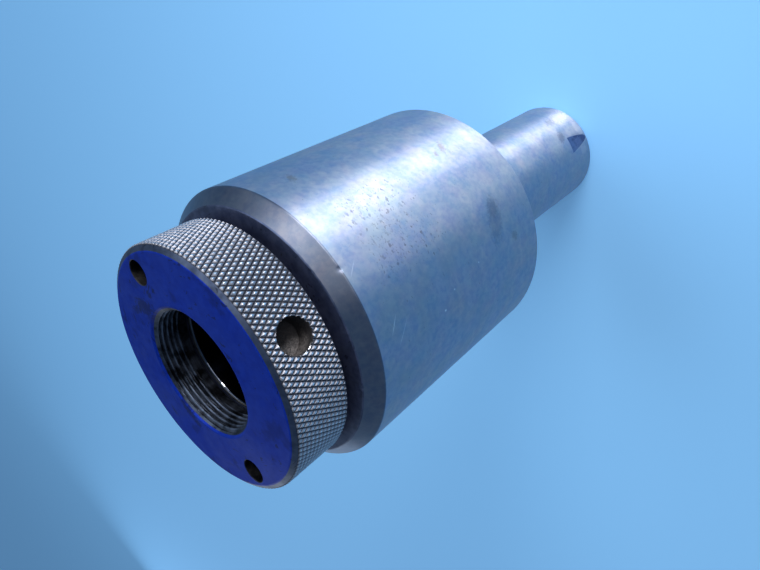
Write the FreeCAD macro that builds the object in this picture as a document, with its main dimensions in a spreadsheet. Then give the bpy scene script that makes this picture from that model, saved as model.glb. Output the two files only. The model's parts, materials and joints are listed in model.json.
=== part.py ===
import FreeCAD, Part
import math
import os
import Sketcher

# Collet chuck extension.
# The frame: +Z runs from the shank's end towards the nose, with the origin at the middle of the shank's end.
# +X points at the clamping flat of the shank and at one of the two round spanner holes of the nose ring.

doc = FreeCAD.newDocument("collet_chuck_extension")

# How close two corners of neighbouring facets are to be one corner, in millimetres
JOIN_TOLERANCE = 0.0001

# Driving dimensions, in millimetres and degrees
SIZES = [
    ("shank_radius", 19.05),
    ("shank_length", 82.0),
    ("shank_edge", 0.6),
    ("through_bore_radius", 6.5),
    ("centre_radius", 8.2),
    ("centre_half_angle", 30.0),
    ("flat_width", 6.3),
    ("flat_wall_height", 14.0),
    ("flat_run_out_height", 1.0),
    ("body_radius", 38.1),
    ("body_length", 75.4),
    ("body_bevel", 3.65),
    ("body_rear_edge", 0.4),
    ("neck_radius", 23.5),
    ("neck_length", 9.1),
    ("neck_edge", 0.4),
    ("seat_mouth_radius", 15.9),
    ("seat_mouth_edge", 0.5),
    ("seat_half_angle", 8.0),
    ("collet_bore_radius", 12.2),
    ("collet_bore_depth", 62.0),
    ("drill_half_angle", 59.0),
    ("ring_radius", 32.8),
    ("ring_length", 16.1),
    ("ring_gap", 2.9),
    ("ring_bevel_width", 1.85),
    ("ring_bevel_length", 1.1),
    ("ring_rear_edge", 0.4),
    ("knurl_pitch", 1.462),
    ("knurl_depth", 0.45),
    ("knurl_helix_angle", 30.6),
    ("ring_mouth_radius", 17.6),
    ("ring_mouth_length", 1.4),
    ("ring_thread_radius", 16.0),
    ("ring_relief_radius", 16.9),
    ("ring_relief_length", 2.0),
    ("ring_neck_space", 0.5),
    ("ring_skirt_clearance", 0.1),
    ("ring_skirt_edge", 0.3),
    ("ball_radius", 1.984),
    ("ball_gap", 0.02),
    ("race_clearance", 0.1),
    ("race_height", 3.0),
    ("face_hole_radius", 3.2),
    ("face_hole_circle_radius", 26.85),
    ("face_hole_depth", 7.0),
    ("rim_hole_radius", 4.15),
    ("rim_hole_drop", 8.2),
    ("rim_hole_depth", 5.6),
    ("plug_radius", 2.45),
    ("plug_clearance", 0.05),
    ("plug_recess", 1.0),
    ("plug_azimuth", 225.0),
    ("driver_slot_width", 0.9),
    ("driver_slot_depth", 1.1),
    ("key_drop", 18.5),
    ("key_thread_radius", 2.95),
    ("key_thread_clearance", 0.05),
    ("key_tip_radius", 2.1),
    ("key_tip_reach", 1.1),
    ("key_thread_end", 1.0),
    ("key_recess", 4.8),
    ("key_socket_width", 3.0),
    ("key_socket_depth", 3.0),
]

sizes = doc.addObject("Spreadsheet::Sheet", "Sizes")
for row, (alias, number) in enumerate(SIZES, start=1):
    sizes.set("A%d" % row, alias)
    sizes.set("B%d" % row, str(number))
    sizes.setAlias("B%d" % row, alias)
doc.recompute()

# Heights and radii that follow from the driving dimensions
FRONT = "(Sizes.shank_length + Sizes.body_length)"
NECK_TOP = "(%s + Sizes.neck_length)" % FRONT
RING_REAR = "(%s + Sizes.ring_gap)" % FRONT
NOSE = "(%s + Sizes.ring_length)" % RING_REAR
SHOULDER = "(%s + Sizes.ring_neck_space)" % NECK_TOP
RING_FACE_RADIUS = "(Sizes.ring_radius - Sizes.ring_bevel_width)"
BLANK_RADIUS = "(Sizes.ring_radius + Sizes.knurl_depth)"
BEVEL_DROP = "(Sizes.ring_bevel_length * (1 + Sizes.knurl_depth / Sizes.ring_bevel_width))"
SEAT_LENGTH = "((Sizes.seat_mouth_radius - Sizes.collet_bore_radius) / tan(Sizes.seat_half_angle * 1 deg))"
BORE_FLOOR = "(%s - Sizes.collet_bore_depth)" % NECK_TOP
FLAT_WALL_X = "sqrt(Sizes.shank_radius * Sizes.shank_radius - Sizes.flat_width * Sizes.flat_width / 4)"
FLAT_SLOPE = ("((Sizes.shank_radius - %s) / (Sizes.flat_wall_height - Sizes.flat_run_out_height))"
              % FLAT_WALL_X)
SKIRT_RADIUS = "(Sizes.neck_radius + Sizes.ring_skirt_clearance)"
PITCH_RADIUS = "(Sizes.neck_radius + Sizes.ring_skirt_clearance / 2)"
RACE_Z = "(%s + Sizes.race_height)" % RING_REAR
RACE_SECTION = "(Sizes.ball_radius + Sizes.race_clearance)"
DRILL_SLOPE = "tan(Sizes.drill_half_angle * 1 deg)"
RIM_HOLE_Z = "(%s - Sizes.rim_hole_drop)" % NOSE
KEY_Z = "(%s - Sizes.key_drop)" % NECK_TOP
SEAT_AT_KEY = "(Sizes.seat_mouth_radius - Sizes.key_drop * tan(Sizes.seat_half_angle * 1 deg))"
KEY_TIP_X = "(%s - Sizes.key_tip_reach)" % SEAT_AT_KEY
KEY_THREAD_START = "(%s + Sizes.key_thread_end)" % SEAT_AT_KEY


def value(expression):
    """The number that an expression in the sheet's dimensions has now."""
    result = sizes.evalExpression(str(expression))
    return float(getattr(result, "Value", result))


def origin_item(body, role):
    """A body's own origin plane or axis, by its role."""
    for item in body.Origin.OriginFeatures:
        if item.Role == role:
            return item
    raise ValueError("no origin item " + role)


def new_sketch(body, name, plane, azimuth=None, offset=None):
    """A sketch on one of the body's origin planes, turned about Z or moved along its normal."""
    sketch = body.newObject("Sketcher::SketchObject", name)
    sketch.AttachmentSupport = [(origin_item(body, plane), "")]
    sketch.MapMode = "FlatFace"
    if azimuth is not None:
        sketch.AttachmentOffset = FreeCAD.Placement(
            FreeCAD.Vector(), FreeCAD.Rotation(FreeCAD.Vector(0, 1, 0), value(azimuth)))
        sketch.setExpression("AttachmentOffset.Rotation.Angle", str(azimuth))
    if offset is not None:
        sketch.AttachmentOffset = FreeCAD.Placement(FreeCAD.Vector(0, 0, value(offset)), FreeCAD.Rotation())
        sketch.setExpression("AttachmentOffset.Base.z", str(offset))
    return sketch


def drive(sketch, kind, *place, size):
    """Adds a dimension to the sketch and binds it to an expression."""
    index = sketch.addConstraint(Sketcher.Constraint(kind, *place, value(size)))
    sketch.setExpression("Constraints[%d]" % index, str(size))


def pin_point(sketch, geometry, end, across, along):
    """Holds one end of a line at expressions for its two sketch coordinates."""
    for kind, axis, size in (("DistanceX", -2, across), ("DistanceY", -1, along)):
        if value(size) == 0:
            sketch.addConstraint(Sketcher.Constraint("PointOnObject", geometry, end, axis))
        else:
            drive(sketch, kind, -1, 1, geometry, end, size=size)


def draw_outline(sketch, corners):
    """A closed outline of straight lines, each corner held by two expressions."""
    points = [FreeCAD.Vector(value(across), value(along), 0) for across, along in corners]
    count = len(points)
    lines = []
    for index in range(count):
        segment = Part.LineSegment(points[index], points[(index + 1) % count])
        lines.append(sketch.addGeometry(segment, False))
    for index in range(count):
        following = lines[(index + 1) % count]
        sketch.addConstraint(Sketcher.Constraint("Coincident", lines[index], 2, following, 1))
    for line, (across, along) in zip(lines, corners):
        pin_point(sketch, line, 1, across, along)


def draw_circle(sketch, across, along, radius):
    """A circle whose centre and radius are expressions."""
    centre = FreeCAD.Vector(value(across), value(along), 0)
    circle = sketch.addGeometry(Part.Circle(centre, FreeCAD.Vector(0, 0, 1), value(radius)), False)
    pin_point(sketch, circle, 3, across, along)
    drive(sketch, "Radius", circle, size=radius)


def turn(body, name, corners):
    """A revolved solid about the body's Z axis."""
    sketch = new_sketch(body, name + "_outline", "XZ_Plane")
    draw_outline(sketch, corners)
    feature = body.newObject("PartDesign::Revolution", name)
    feature.Profile = sketch
    feature.ReferenceAxis = (sketch, ["V_Axis"])
    feature.Angle = 360
    doc.recompute()
    return feature


def turned_groove(body, name, across, along, radius):
    """A round-bottomed groove about the body's Z axis."""
    sketch = new_sketch(body, name + "_section", "XZ_Plane")
    draw_circle(sketch, across, along, radius)
    feature = body.newObject("PartDesign::Groove", name)
    feature.Profile = sketch
    feature.ReferenceAxis = (sketch, ["V_Axis"])
    feature.Angle = 360
    doc.recompute()
    return feature


def bore(body, name, sketch, corners):
    """A turned hole: its half outline, whose first and last corners lie on the hole's own axis."""
    draw_outline(sketch, corners)
    ends = [FreeCAD.Vector(value(across), value(along), 0) for across, along in (corners[0], corners[-1])]
    axis = sketch.addGeometry(Part.LineSegment(*ends), True)
    pin_point(sketch, axis, 1, *corners[0])
    pin_point(sketch, axis, 2, *corners[-1])
    feature = body.newObject("PartDesign::Groove", name)
    feature.Profile = sketch
    feature.ReferenceAxis = (sketch, ["Axis0"])
    feature.Angle = 360
    doc.recompute()
    return feature


def radial_bore(body, name, height, corners, azimuth=None):
    """A hole whose axis crosses the body's Z axis at a height; corners are (distance from Z, radius)."""
    sketch = new_sketch(body, name + "_section", "XZ_Plane", azimuth=azimuth)
    outline = [(across, "%s + %s" % (height, radius)) for across, radius in corners]
    return bore(body, name, sketch, outline)


def face_bore(body, name, distance, corners):
    """A hole along Z at a distance from the Z axis, on Y; corners are (hole radius, height)."""
    sketch = new_sketch(body, name + "_section", "YZ_Plane")
    outline = [("%s + %s" % (distance, radius), height) for radius, height in corners]
    return bore(body, name, sketch, outline)


def opposite_pair(body, name, feature):
    """Repeats a feature on the other side of the body's Z axis."""
    pattern = body.newObject("PartDesign::PolarPattern", name)
    pattern.Originals = [feature]
    pattern.Axis = (origin_item(body, "Z_Axis"), [""])
    pattern.Angle = 360
    pattern.Occurrences = 2
    body.Tip = pattern
    doc.recompute()
    return pattern


def cut_to(body, feature, length, towards_normal):
    """Sets how far a pocket goes from its sketch, and to which side."""
    feature.Type = "Length"
    feature.Length = value(length)
    feature.setExpression("Length", str(length))
    feature.Reversed = towards_normal
    doc.recompute()


def new_body(label):
    """An empty body whose label names its file."""
    body = doc.addObject("PartDesign::Body", label)
    body.Label = label
    return body


# Chuck body: shank, main cylinder, neck, taper seat and bores, turned from one bar
def build_chuck_body():
    body = new_body("chuck_body")
    turn(body, "turned_bar", [
        ("Sizes.centre_radius", 0),
        ("Sizes.shank_radius - Sizes.shank_edge", 0),
        ("Sizes.shank_radius", "Sizes.shank_edge"),
        ("Sizes.shank_radius", "Sizes.shank_length"),
        ("Sizes.body_radius - Sizes.body_rear_edge", "Sizes.shank_length"),
        ("Sizes.body_radius", "Sizes.shank_length + Sizes.body_rear_edge"),
        ("Sizes.body_radius", "%s - Sizes.body_bevel" % FRONT),
        ("Sizes.body_radius - Sizes.body_bevel", FRONT),
        ("Sizes.neck_radius", FRONT),
        ("Sizes.neck_radius", "%s - Sizes.neck_edge" % NECK_TOP),
        ("Sizes.neck_radius - Sizes.neck_edge", NECK_TOP),
        ("Sizes.seat_mouth_radius + Sizes.seat_mouth_edge", NECK_TOP),
        ("Sizes.seat_mouth_radius", "%s - Sizes.seat_mouth_edge" % NECK_TOP),
        ("Sizes.collet_bore_radius", "%s - %s" % (NECK_TOP, SEAT_LENGTH)),
        ("Sizes.collet_bore_radius", BORE_FLOOR),
        ("Sizes.through_bore_radius",
         "%s - (Sizes.collet_bore_radius - Sizes.through_bore_radius) / %s" % (BORE_FLOOR, DRILL_SLOPE)),
        ("Sizes.through_bore_radius",
         "(Sizes.centre_radius - Sizes.through_bore_radius) / tan(Sizes.centre_half_angle * 1 deg)"),
    ])
    turned_groove(body, "inner_race", PITCH_RADIUS, RACE_Z, RACE_SECTION)

    # The clamping flat is deepest at its wall and slopes up until it runs out near the shank's end
    outside = "Sizes.shank_radius + Sizes.flat_width"
    slope = new_sketch(body, "clamping_flat_outline", "XZ_Plane", offset="-Sizes.flat_width")
    draw_outline(slope, [
        (FLAT_WALL_X, "Sizes.flat_wall_height"),
        (outside, "Sizes.flat_wall_height"),
        (outside, 0),
        ("Sizes.shank_radius + %s * Sizes.flat_run_out_height" % FLAT_SLOPE, 0),
    ])
    pocket = body.newObject("PartDesign::Pocket", "clamping_flat")
    pocket.Profile = slope
    cut_to(body, pocket, "2 * Sizes.flat_width", True)

    # The tapped hole for the key screw comes in from the far side of the body
    hole_radius = "(Sizes.key_thread_radius + Sizes.key_thread_clearance)"
    radial_bore(body, "key_hole", KEY_Z, [
        (KEY_TIP_X, 0),
        (KEY_TIP_X, hole_radius),
        ("Sizes.body_radius + Sizes.key_thread_radius", hole_radius),
        ("Sizes.body_radius + Sizes.key_thread_radius", 0),
    ], azimuth=180)
    return body


# Ring blank: a skirt over the neck, spanner holes and the ball loading hole.
# Its rim stands proud by the knurl's depth, with the bevel and the rear edge carried out to it.
def build_ring_blank():
    body = new_body("ring_blank")
    turn(body, "turned_ring", [
        ("Sizes.ring_mouth_radius", NOSE),
        (RING_FACE_RADIUS, NOSE),
        (BLANK_RADIUS, "%s - %s" % (NOSE, BEVEL_DROP)),
        (BLANK_RADIUS, "%s + Sizes.ring_rear_edge + Sizes.knurl_depth" % RING_REAR),
        ("Sizes.ring_radius - Sizes.ring_rear_edge", RING_REAR),
        ("%s + Sizes.ring_skirt_edge" % SKIRT_RADIUS, RING_REAR),
        (SKIRT_RADIUS, "%s + Sizes.ring_skirt_edge" % RING_REAR),
        (SKIRT_RADIUS, SHOULDER),
        ("Sizes.ring_relief_radius", SHOULDER),
        ("Sizes.ring_relief_radius", "%s + Sizes.ring_relief_length" % SHOULDER),
        ("Sizes.ring_thread_radius", "%s + Sizes.ring_relief_length" % SHOULDER),
        ("Sizes.ring_thread_radius", "%s - Sizes.ring_mouth_length" % NOSE),
    ])
    turned_groove(body, "outer_race", PITCH_RADIUS, RACE_Z, RACE_SECTION)

    # Pin-spanner holes in the face, on the Y axis, with a drilled end
    face_floor = "(%s - Sizes.face_hole_depth)" % NOSE
    above_nose = "(%s + Sizes.face_hole_radius)" % NOSE
    face_hole = face_bore(body, "face_hole", "Sizes.face_hole_circle_radius", [
        (0, "%s - Sizes.face_hole_radius / %s" % (face_floor, DRILL_SLOPE)),
        ("Sizes.face_hole_radius", face_floor),
        ("Sizes.face_hole_radius", above_nose),
        (0, above_nose),
    ])
    opposite_pair(body, "face_holes", face_hole)

    # Round spanner holes in the rim, on the X axis, with a drilled end
    rim_floor = "(Sizes.ring_radius - Sizes.rim_hole_depth)"
    rim_mouth = "(Sizes.ring_radius + Sizes.rim_hole_radius)"
    rim_hole = radial_bore(body, "rim_hole", RIM_HOLE_Z, [
        ("%s - Sizes.rim_hole_radius / %s" % (rim_floor, DRILL_SLOPE), 0),
        (rim_floor, "Sizes.rim_hole_radius"),
        (rim_mouth, "Sizes.rim_hole_radius"),
        (rim_mouth, 0),
    ])
    opposite_pair(body, "rim_holes", rim_hole)

    # The hole that the balls are loaded through
    plug_hole = "(Sizes.plug_radius + Sizes.plug_clearance)"
    radial_bore(body, "loading_hole", RACE_Z, [
        (PITCH_RADIUS, 0),
        (PITCH_RADIUS, plug_hole),
        (rim_mouth, plug_hole),
        (rim_mouth, 0),
    ], azimuth="Sizes.plug_azimuth")
    return body


# Knurled column: left and right spiral grooves cross and leave rows of four-sided points.
# Points and groove crossings alternate round each row, and the next row is turned by half a tooth.
def build_knurled_column():
    radius = value("Sizes.ring_radius")
    around = 2 * round(2 * math.pi * radius / value("Sizes.knurl_pitch"))
    half_tooth = 2 * math.pi / around
    half_row = radius * half_tooth / math.tan(math.radians(value("Sizes.knurl_helix_angle")))
    rows = math.ceil(value("Sizes.ring_length") / half_row) + 2
    corners = []
    for row in range(rows + 1):
        height = value(RING_REAR) + (row - 1) * half_row
        for step in range(around):
            is_crossing = (step + row) % 2 == 0
            reach = radius - value("Sizes.knurl_depth") if is_crossing else radius
            angle = step * half_tooth
            corners.append(FreeCAD.Vector(reach * math.cos(angle), reach * math.sin(angle), height))

    # Each patch between four neighbours folds along the groove that crosses it
    facets = []
    for row in range(rows):
        for step in range(around):
            low, low_next = row * around + step, row * around + (step + 1) % around
            high, high_next = low + around, low_next + around
            if (step + row) % 2 == 0:
                facets += [(low, low_next, high_next), (low, high_next, high)]
            else:
                facets += [(low, low_next, high), (low_next, high_next, high)]
    flanks = Part.Shape()
    flanks.makeShapeFromMesh((corners, facets), JOIN_TOLERANCE)
    ends = []
    for row in (0, rows):
        edge = corners[row * around:(row + 1) * around]
        ends.append(Part.Face(Part.makePolygon(edge + edge[:1])))
    column = doc.addObject("Part::Feature", "knurled_column")
    column.Shape = Part.makeSolid(Part.makeShell(flanks.Faces + ends))
    return column


# Nose ring: the blank, with its rim knurled between the bevel and the rear edge
def build_nose_ring():
    ring = doc.addObject("Part::Common", "nose_ring")
    ring.Label = "nose_ring"
    ring.Base = build_ring_blank()
    ring.Tool = build_knurled_column()
    return ring


# Plug: a short slotted screw, lying along its own Z axis and set into the loading hole
def build_ball_plug():
    body = new_body("ball_plug")
    inner = "(%s + %s)" % (PITCH_RADIUS, RACE_SECTION)
    outer = "(Sizes.ring_radius - Sizes.plug_recess)"
    turn(body, "turned_plug", [
        (0, inner),
        ("Sizes.plug_radius", inner),
        ("Sizes.plug_radius", outer),
        (0, outer),
    ])
    slot = new_sketch(body, "driver_slot_outline", "XY_Plane", offset=outer)
    draw_outline(slot, [
        ("-Sizes.driver_slot_width / 2", "-2 * Sizes.plug_radius"),
        ("Sizes.driver_slot_width / 2", "-2 * Sizes.plug_radius"),
        ("Sizes.driver_slot_width / 2", "2 * Sizes.plug_radius"),
        ("-Sizes.driver_slot_width / 2", "2 * Sizes.plug_radius"),
    ])
    pocket = body.newObject("PartDesign::Pocket", "driver_slot")
    pocket.Profile = slot
    cut_to(body, pocket, "Sizes.driver_slot_depth", False)
    lay_radially(body, "Sizes.plug_azimuth", RACE_Z)
    return body


# Key screw: threaded shank with a hexagon socket outside and a plain round tip inside
def build_key_screw():
    body = new_body("key_screw")
    outer = "(Sizes.body_radius - Sizes.key_recess)"
    turn(body, "turned_screw", [
        (0, KEY_TIP_X),
        ("Sizes.key_tip_radius", KEY_TIP_X),
        ("Sizes.key_tip_radius", KEY_THREAD_START),
        ("Sizes.key_thread_radius", KEY_THREAD_START),
        ("Sizes.key_thread_radius", outer),
        (0, outer),
    ])
    socket = new_sketch(body, "socket_outline", "XY_Plane", offset=outer)
    draw_outline(socket, [
        ("Sizes.key_socket_width / sqrt(3) * cos(%d deg)" % angle,
         "Sizes.key_socket_width / sqrt(3) * sin(%d deg)" % angle)
        for angle in (30, 90, 150, 210, 270, 330)
    ])
    pocket = body.newObject("PartDesign::Pocket", "socket")
    pocket.Profile = socket
    cut_to(body, pocket, "Sizes.key_socket_depth", False)
    lay_radially(body, 180, KEY_Z)
    return body


def lay_radially(item, azimuth, height):
    """Turns an item's own Z axis outwards at an azimuth and lifts it to a height."""
    level = FreeCAD.Rotation(FreeCAD.Vector(0, 1, 0), 90)
    around = FreeCAD.Rotation(FreeCAD.Vector(0, 0, 1), value(azimuth))
    item.Placement = FreeCAD.Placement(FreeCAD.Vector(0, 0, value(height)), around.multiply(level))
    item.setExpression("Placement.Base.z", str(height))


# Bearing balls: one full row, as many as the race holds
def build_balls():
    pitch = value(PITCH_RADIUS)
    spacing = 2 * value("Sizes.ball_radius") + value("Sizes.ball_gap")
    count = int(math.pi / math.asin(spacing / 2 / pitch))
    balls = []
    for index in range(count):
        ball = doc.addObject("Part::Sphere", "bearing_ball_%02d" % (index + 1))
        ball.Label = "bearing_ball_%02d" % (index + 1)
        ball.setExpression("Radius", "Sizes.ball_radius")
        angle = "(%d * 360 deg / %d)" % (index, count)
        ball.setExpression("Placement.Base.x", "%s * cos%s" % (PITCH_RADIUS, angle))
        ball.setExpression("Placement.Base.y", "%s * sin%s" % (PITCH_RADIUS, angle))
        ball.setExpression("Placement.Base.z", RACE_Z)
        balls.append(ball)
    return balls


nodes = [build_chuck_body(), build_nose_ring(), build_ball_plug(), build_key_screw()]
nodes += build_balls()
doc.recompute()

# Nothing is written unless every object is sound
for item in doc.Objects:
    if "Invalid" in item.State or "Error" in item.State:
        raise RuntimeError("%s did not build: %s" % (item.Label, item.State))
for node in nodes:
    if node.Shape.isNull() or not node.Shape.isValid():
        raise RuntimeError(node.Label + " has no sound shape")

os.makedirs("parts", exist_ok=True)
for node in nodes:
    node.Shape.exportStep("parts/%s.step" % node.Label)
    print("%-16s %2d solid %10.1f mm3" % (node.Label, len(node.Shape.Solids), node.Shape.Volume))
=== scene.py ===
import json
import logging
import math
from dataclasses import dataclass, field
from enum import Enum
from typing import Callable, Iterable, Sequence

import bmesh
import bpy
import numpy as np
from mathutils import Matrix, Quaternion, Vector


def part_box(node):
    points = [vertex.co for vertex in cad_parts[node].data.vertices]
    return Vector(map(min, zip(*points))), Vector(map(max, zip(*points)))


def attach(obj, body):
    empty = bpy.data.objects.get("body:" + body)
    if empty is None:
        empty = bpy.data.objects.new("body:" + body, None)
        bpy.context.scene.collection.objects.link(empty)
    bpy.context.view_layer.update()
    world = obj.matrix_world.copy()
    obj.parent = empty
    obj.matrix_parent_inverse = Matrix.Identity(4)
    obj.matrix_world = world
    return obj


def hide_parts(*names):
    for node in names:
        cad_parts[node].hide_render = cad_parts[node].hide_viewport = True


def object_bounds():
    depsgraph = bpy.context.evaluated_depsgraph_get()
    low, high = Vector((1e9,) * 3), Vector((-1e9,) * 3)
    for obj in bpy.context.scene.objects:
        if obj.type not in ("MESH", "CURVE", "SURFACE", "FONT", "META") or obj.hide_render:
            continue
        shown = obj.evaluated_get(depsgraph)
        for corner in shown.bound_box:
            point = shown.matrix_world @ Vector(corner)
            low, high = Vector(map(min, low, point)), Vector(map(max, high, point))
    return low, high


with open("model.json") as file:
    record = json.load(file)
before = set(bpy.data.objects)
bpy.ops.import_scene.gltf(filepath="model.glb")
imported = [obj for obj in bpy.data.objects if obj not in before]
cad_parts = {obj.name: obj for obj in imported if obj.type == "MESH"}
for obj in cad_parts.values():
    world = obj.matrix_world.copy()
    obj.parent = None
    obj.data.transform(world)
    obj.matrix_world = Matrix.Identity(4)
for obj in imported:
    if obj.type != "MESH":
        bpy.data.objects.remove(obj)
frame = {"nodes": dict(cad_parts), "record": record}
CAD_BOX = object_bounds()
LOG = logging.getLogger("collet_chuck_extension")
MM = 0.001
Colour = tuple[float, float, float]


def mount_size(name: str, size: str) -> float:
    """One of the record's mount sizes.

    Args:
        name: the mount's name.
        size: the key of the size, in millimetres in the record.

    Returns:
        The size in metres.
    """
    return next(m for m in frame["record"]["mounts"] if m["name"] == name)["dims"][size] * MM


def heading(azimuth: float, elevation: float = 0.0) -> Vector:
    """The direction that an azimuth and an elevation point in.

    Args:
        azimuth: the turn about Z from +X, in radians.
        elevation: the rise above the level, in radians.

    Returns:
        A vector of length 1.
    """
    flat = math.cos(elevation)
    return Vector((flat * math.cos(azimuth), flat * math.sin(azimuth), math.sin(elevation)))


class Skin(Enum):
    """The finishes that the faces of a turned piece can carry."""

    GROUND = "ground_wall"
    # The milled flat, painted dark blue as shade and a blue reflection
    FLAT = "clamping_flat"
    # The chamfer is the wall's ground steel given darker colours as painted shade
    CHAMFER = "painted_shade_chamfer"
    # The body's front face and neck, painted nearly black as the shade beside the ring
    FRONT = "painted_shade_front"
    SEAT = "polished_seat_painted_shade"
    BORED = "bored_wall"
    # The nose face: real blueing made a saturated blue that is partly a painted blue reflection
    RING = "blued_ring_painted_reflection"
    BEVEL = "ring_bevel"
    KNURL = "knurled_rim"
    THREAD = "cut_thread"
    DRILLED = "drilled_hole"


@dataclass(frozen=True)
class Corner:
    """One corner of a turned outline, and the finish of the wall that follows it.

    Sizes are in metres. A rounding of nothing leaves the corner sharp.
    """

    radius: float
    height: float
    skin: Skin
    rounding: float = 0.0


@dataclass
class Loop:
    """A closed row of points round the axis, and the skin between it and the next row."""

    points: np.ndarray
    skin: Skin
    folds: np.ndarray | None = None


# How many steps a rounding has, and the most that it may take of a wall's length
ROUND_STEPS = 4
ROUND_REACH = 0.45


def rounded_outline(corners: Sequence[Corner]) -> list[tuple[float, float, Skin]]:
    """Breaks each corner of a closed outline with a small curve.

    Args:
        corners: the outline's corners in order; the last joins the first.

    Returns:
        Radius, height and following finish of each point of the finished outline.
    """
    places = [np.array((c.radius, c.height)) for c in corners]
    path: list[tuple[float, float, Skin]] = []
    for index, corner in enumerate(corners):
        here, before, after = places[index], places[index - 1], places[(index + 1) % len(places)]
        if corner.rounding == 0.0:
            path.append((here[0], here[1], corner.skin))
            continue
        walls = [before - here, after - here]
        lengths = [float(np.linalg.norm(wall)) for wall in walls]
        start, end = (here + wall / length * min(corner.rounding, ROUND_REACH * length)
                      for wall, length in zip(walls, lengths))
        for share in np.linspace(0.0, 1.0, ROUND_STEPS + 1):
            point = (1 - share) ** 2 * start + 2 * share * (1 - share) * here + share**2 * end
            path.append((point[0], point[1], corner.skin))
    return path


def zigzag(place: np.ndarray) -> np.ndarray:
    """A wave that runs straight from 0 up to 1 and back over each two units of the place."""
    return 1.0 - np.abs(place % 2 - 1.0)


@dataclass(frozen=True)
class BallRace:
    """The row of balls between the neck and the ring, and the groove that each of them has for it.

    Sizes are in metres: the radius of the ring of ball centres, their height and the groove's section.
    """

    pitch: float = 23.55 * MM
    level: float = 163.3 * MM
    reach: float = 2.084 * MM
    points: int = 11

    def groove(self, wall: float, outside: bool) -> list[tuple[float, float]]:
        """The groove's section on one side of the balls.

        Args:
            wall: the radius of the wall that the groove is cut into.
            outside: True for the groove in the outer piece.

        Returns:
            Radius and height of points from the groove's top edge down to its bottom edge.
        """
        side = 1.0 if outside else -1.0
        half = math.acos(side * (wall - self.pitch) / self.reach)
        angles = np.linspace(half, -half, self.points)
        return [(self.pitch + side * self.reach * math.cos(a), self.level + self.reach * math.sin(a))
                for a in angles]


# How steeply a dent's hollow falls off towards its rim
HOLLOW_CURVE = 1.5


class TurnedSkin:
    """A closed skin round the Z axis, laid row by row and joined to itself at the end."""

    def __init__(self, name: str) -> None:
        """Starts an empty skin for a piece of that name."""
        self.name = name
        self.loops: list[Loop] = []

    def lay(self, radius: float | np.ndarray, height: float | np.ndarray, columns: int, skin: Skin,
            folds: np.ndarray | None = None) -> None:
        """Adds a row of points.

        Args:
            radius: one radius, or one for each point.
            height: one height, or one for each point.
            columns: how many points go round.
            skin: the finish of the wall that follows.
            folds: for each patch that follows, True where it folds from its first corner.
        """
        angle = np.arange(columns) * (2 * math.pi / columns)
        reach = np.broadcast_to(radius, columns)
        level = np.broadcast_to(height, columns)
        points = np.column_stack((reach * np.cos(angle), reach * np.sin(angle), level))
        self.loops.append(Loop(points, skin, folds))

    def lay_outline(self, outline: Iterable[tuple[float, float, Skin]], columns: int) -> None:
        """Adds a row for each point of an outline."""
        for radius, height, skin in outline:
            self.lay(radius, height, columns, skin)

    def dent(self, centre: Vector, width: float, depth: float, push: Vector) -> None:
        """Presses a small hollow into the rows near a point.

        Args:
            centre: the middle of the hollow.
            width: how far the hollow reaches from its middle.
            depth: how far its middle is pushed in.
            push: the direction of the push.
        """
        way = np.array(push.normalized())
        for loop in self.loops:
            gap = np.linalg.norm(loop.points - np.array(centre), axis=1) / width
            share = np.clip(1.0 - gap**2, 0.0, 1.0)
            loop.points += np.outer(share**HOLLOW_CURVE * depth, way)

    def _patches(self, low: int, low_count: int, high: int, high_count: int,
                 folds: np.ndarray | None) -> list[tuple[int, ...]]:
        """The faces between two rows, whose counts are equal or whole multiples of each other.

        Args:
            low: the number of the lower row's first point.
            low_count: how many points the lower row has.
            high: the number of the upper row's first point.
            high_count: how many points the upper row has.
            folds: for each patch, True where it folds from its first corner.

        Returns:
            The corners of each face.
        """
        faces: list[tuple[int, ...]] = []
        count = min(low_count, high_count)
        for step in range(count):
            following = (step + 1) % count
            if low_count == high_count:
                a, b, c, d = low + step, low + following, high + following, high + step
                if folds is None:
                    faces.append((a, b, c, d))
                elif folds[step]:
                    faces += [(a, b, c), (a, c, d)]
                else:
                    faces += [(a, b, d), (b, c, d)]
            elif low_count < high_count:
                times = high_count // low_count
                upper = [high + (step * times + part) % high_count for part in range(times, -1, -1)]
                faces.append((low + step, low + following, *upper))
            else:
                times = low_count // high_count
                lower = [low + (step * times + part) % low_count for part in range(times + 1)]
                faces.append((*lower, high + following, high + step))
        return faces

    def build(self, skins: Sequence[Skin]) -> bpy.types.Object:
        """Makes the piece's mesh object.

        Args:
            skins: the finishes in the order of the piece's material slots.

        Returns:
            The new object, linked to the scene.
        """
        starts = np.cumsum([0] + [len(loop.points) for loop in self.loops])
        faces: list[tuple[int, ...]] = []
        slots: list[int] = []
        smooth: list[bool] = []
        for index, loop in enumerate(self.loops):
            following = (index + 1) % len(self.loops)
            made = self._patches(int(starts[index]), len(loop.points), int(starts[following]),
                                 len(self.loops[following].points), loop.folds)
            faces += made
            slots += [skins.index(loop.skin)] * len(made)
            smooth += [loop.folds is None] * len(made)
        mesh = bpy.data.meshes.new(self.name)
        mesh.from_pydata(np.vstack([loop.points for loop in self.loops]).tolist(), [], faces)
        mesh.polygons.foreach_set("material_index", slots)
        mesh.polygons.foreach_set("use_smooth", smooth)
        return linked(mesh)


# A chipped mouth: the cosine of the angle at which the chips end, their least share and their seed
CHIP_SPREAD = 0.35
CHIP_LEAST = 0.15
CHIP_SEED = 11


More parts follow.
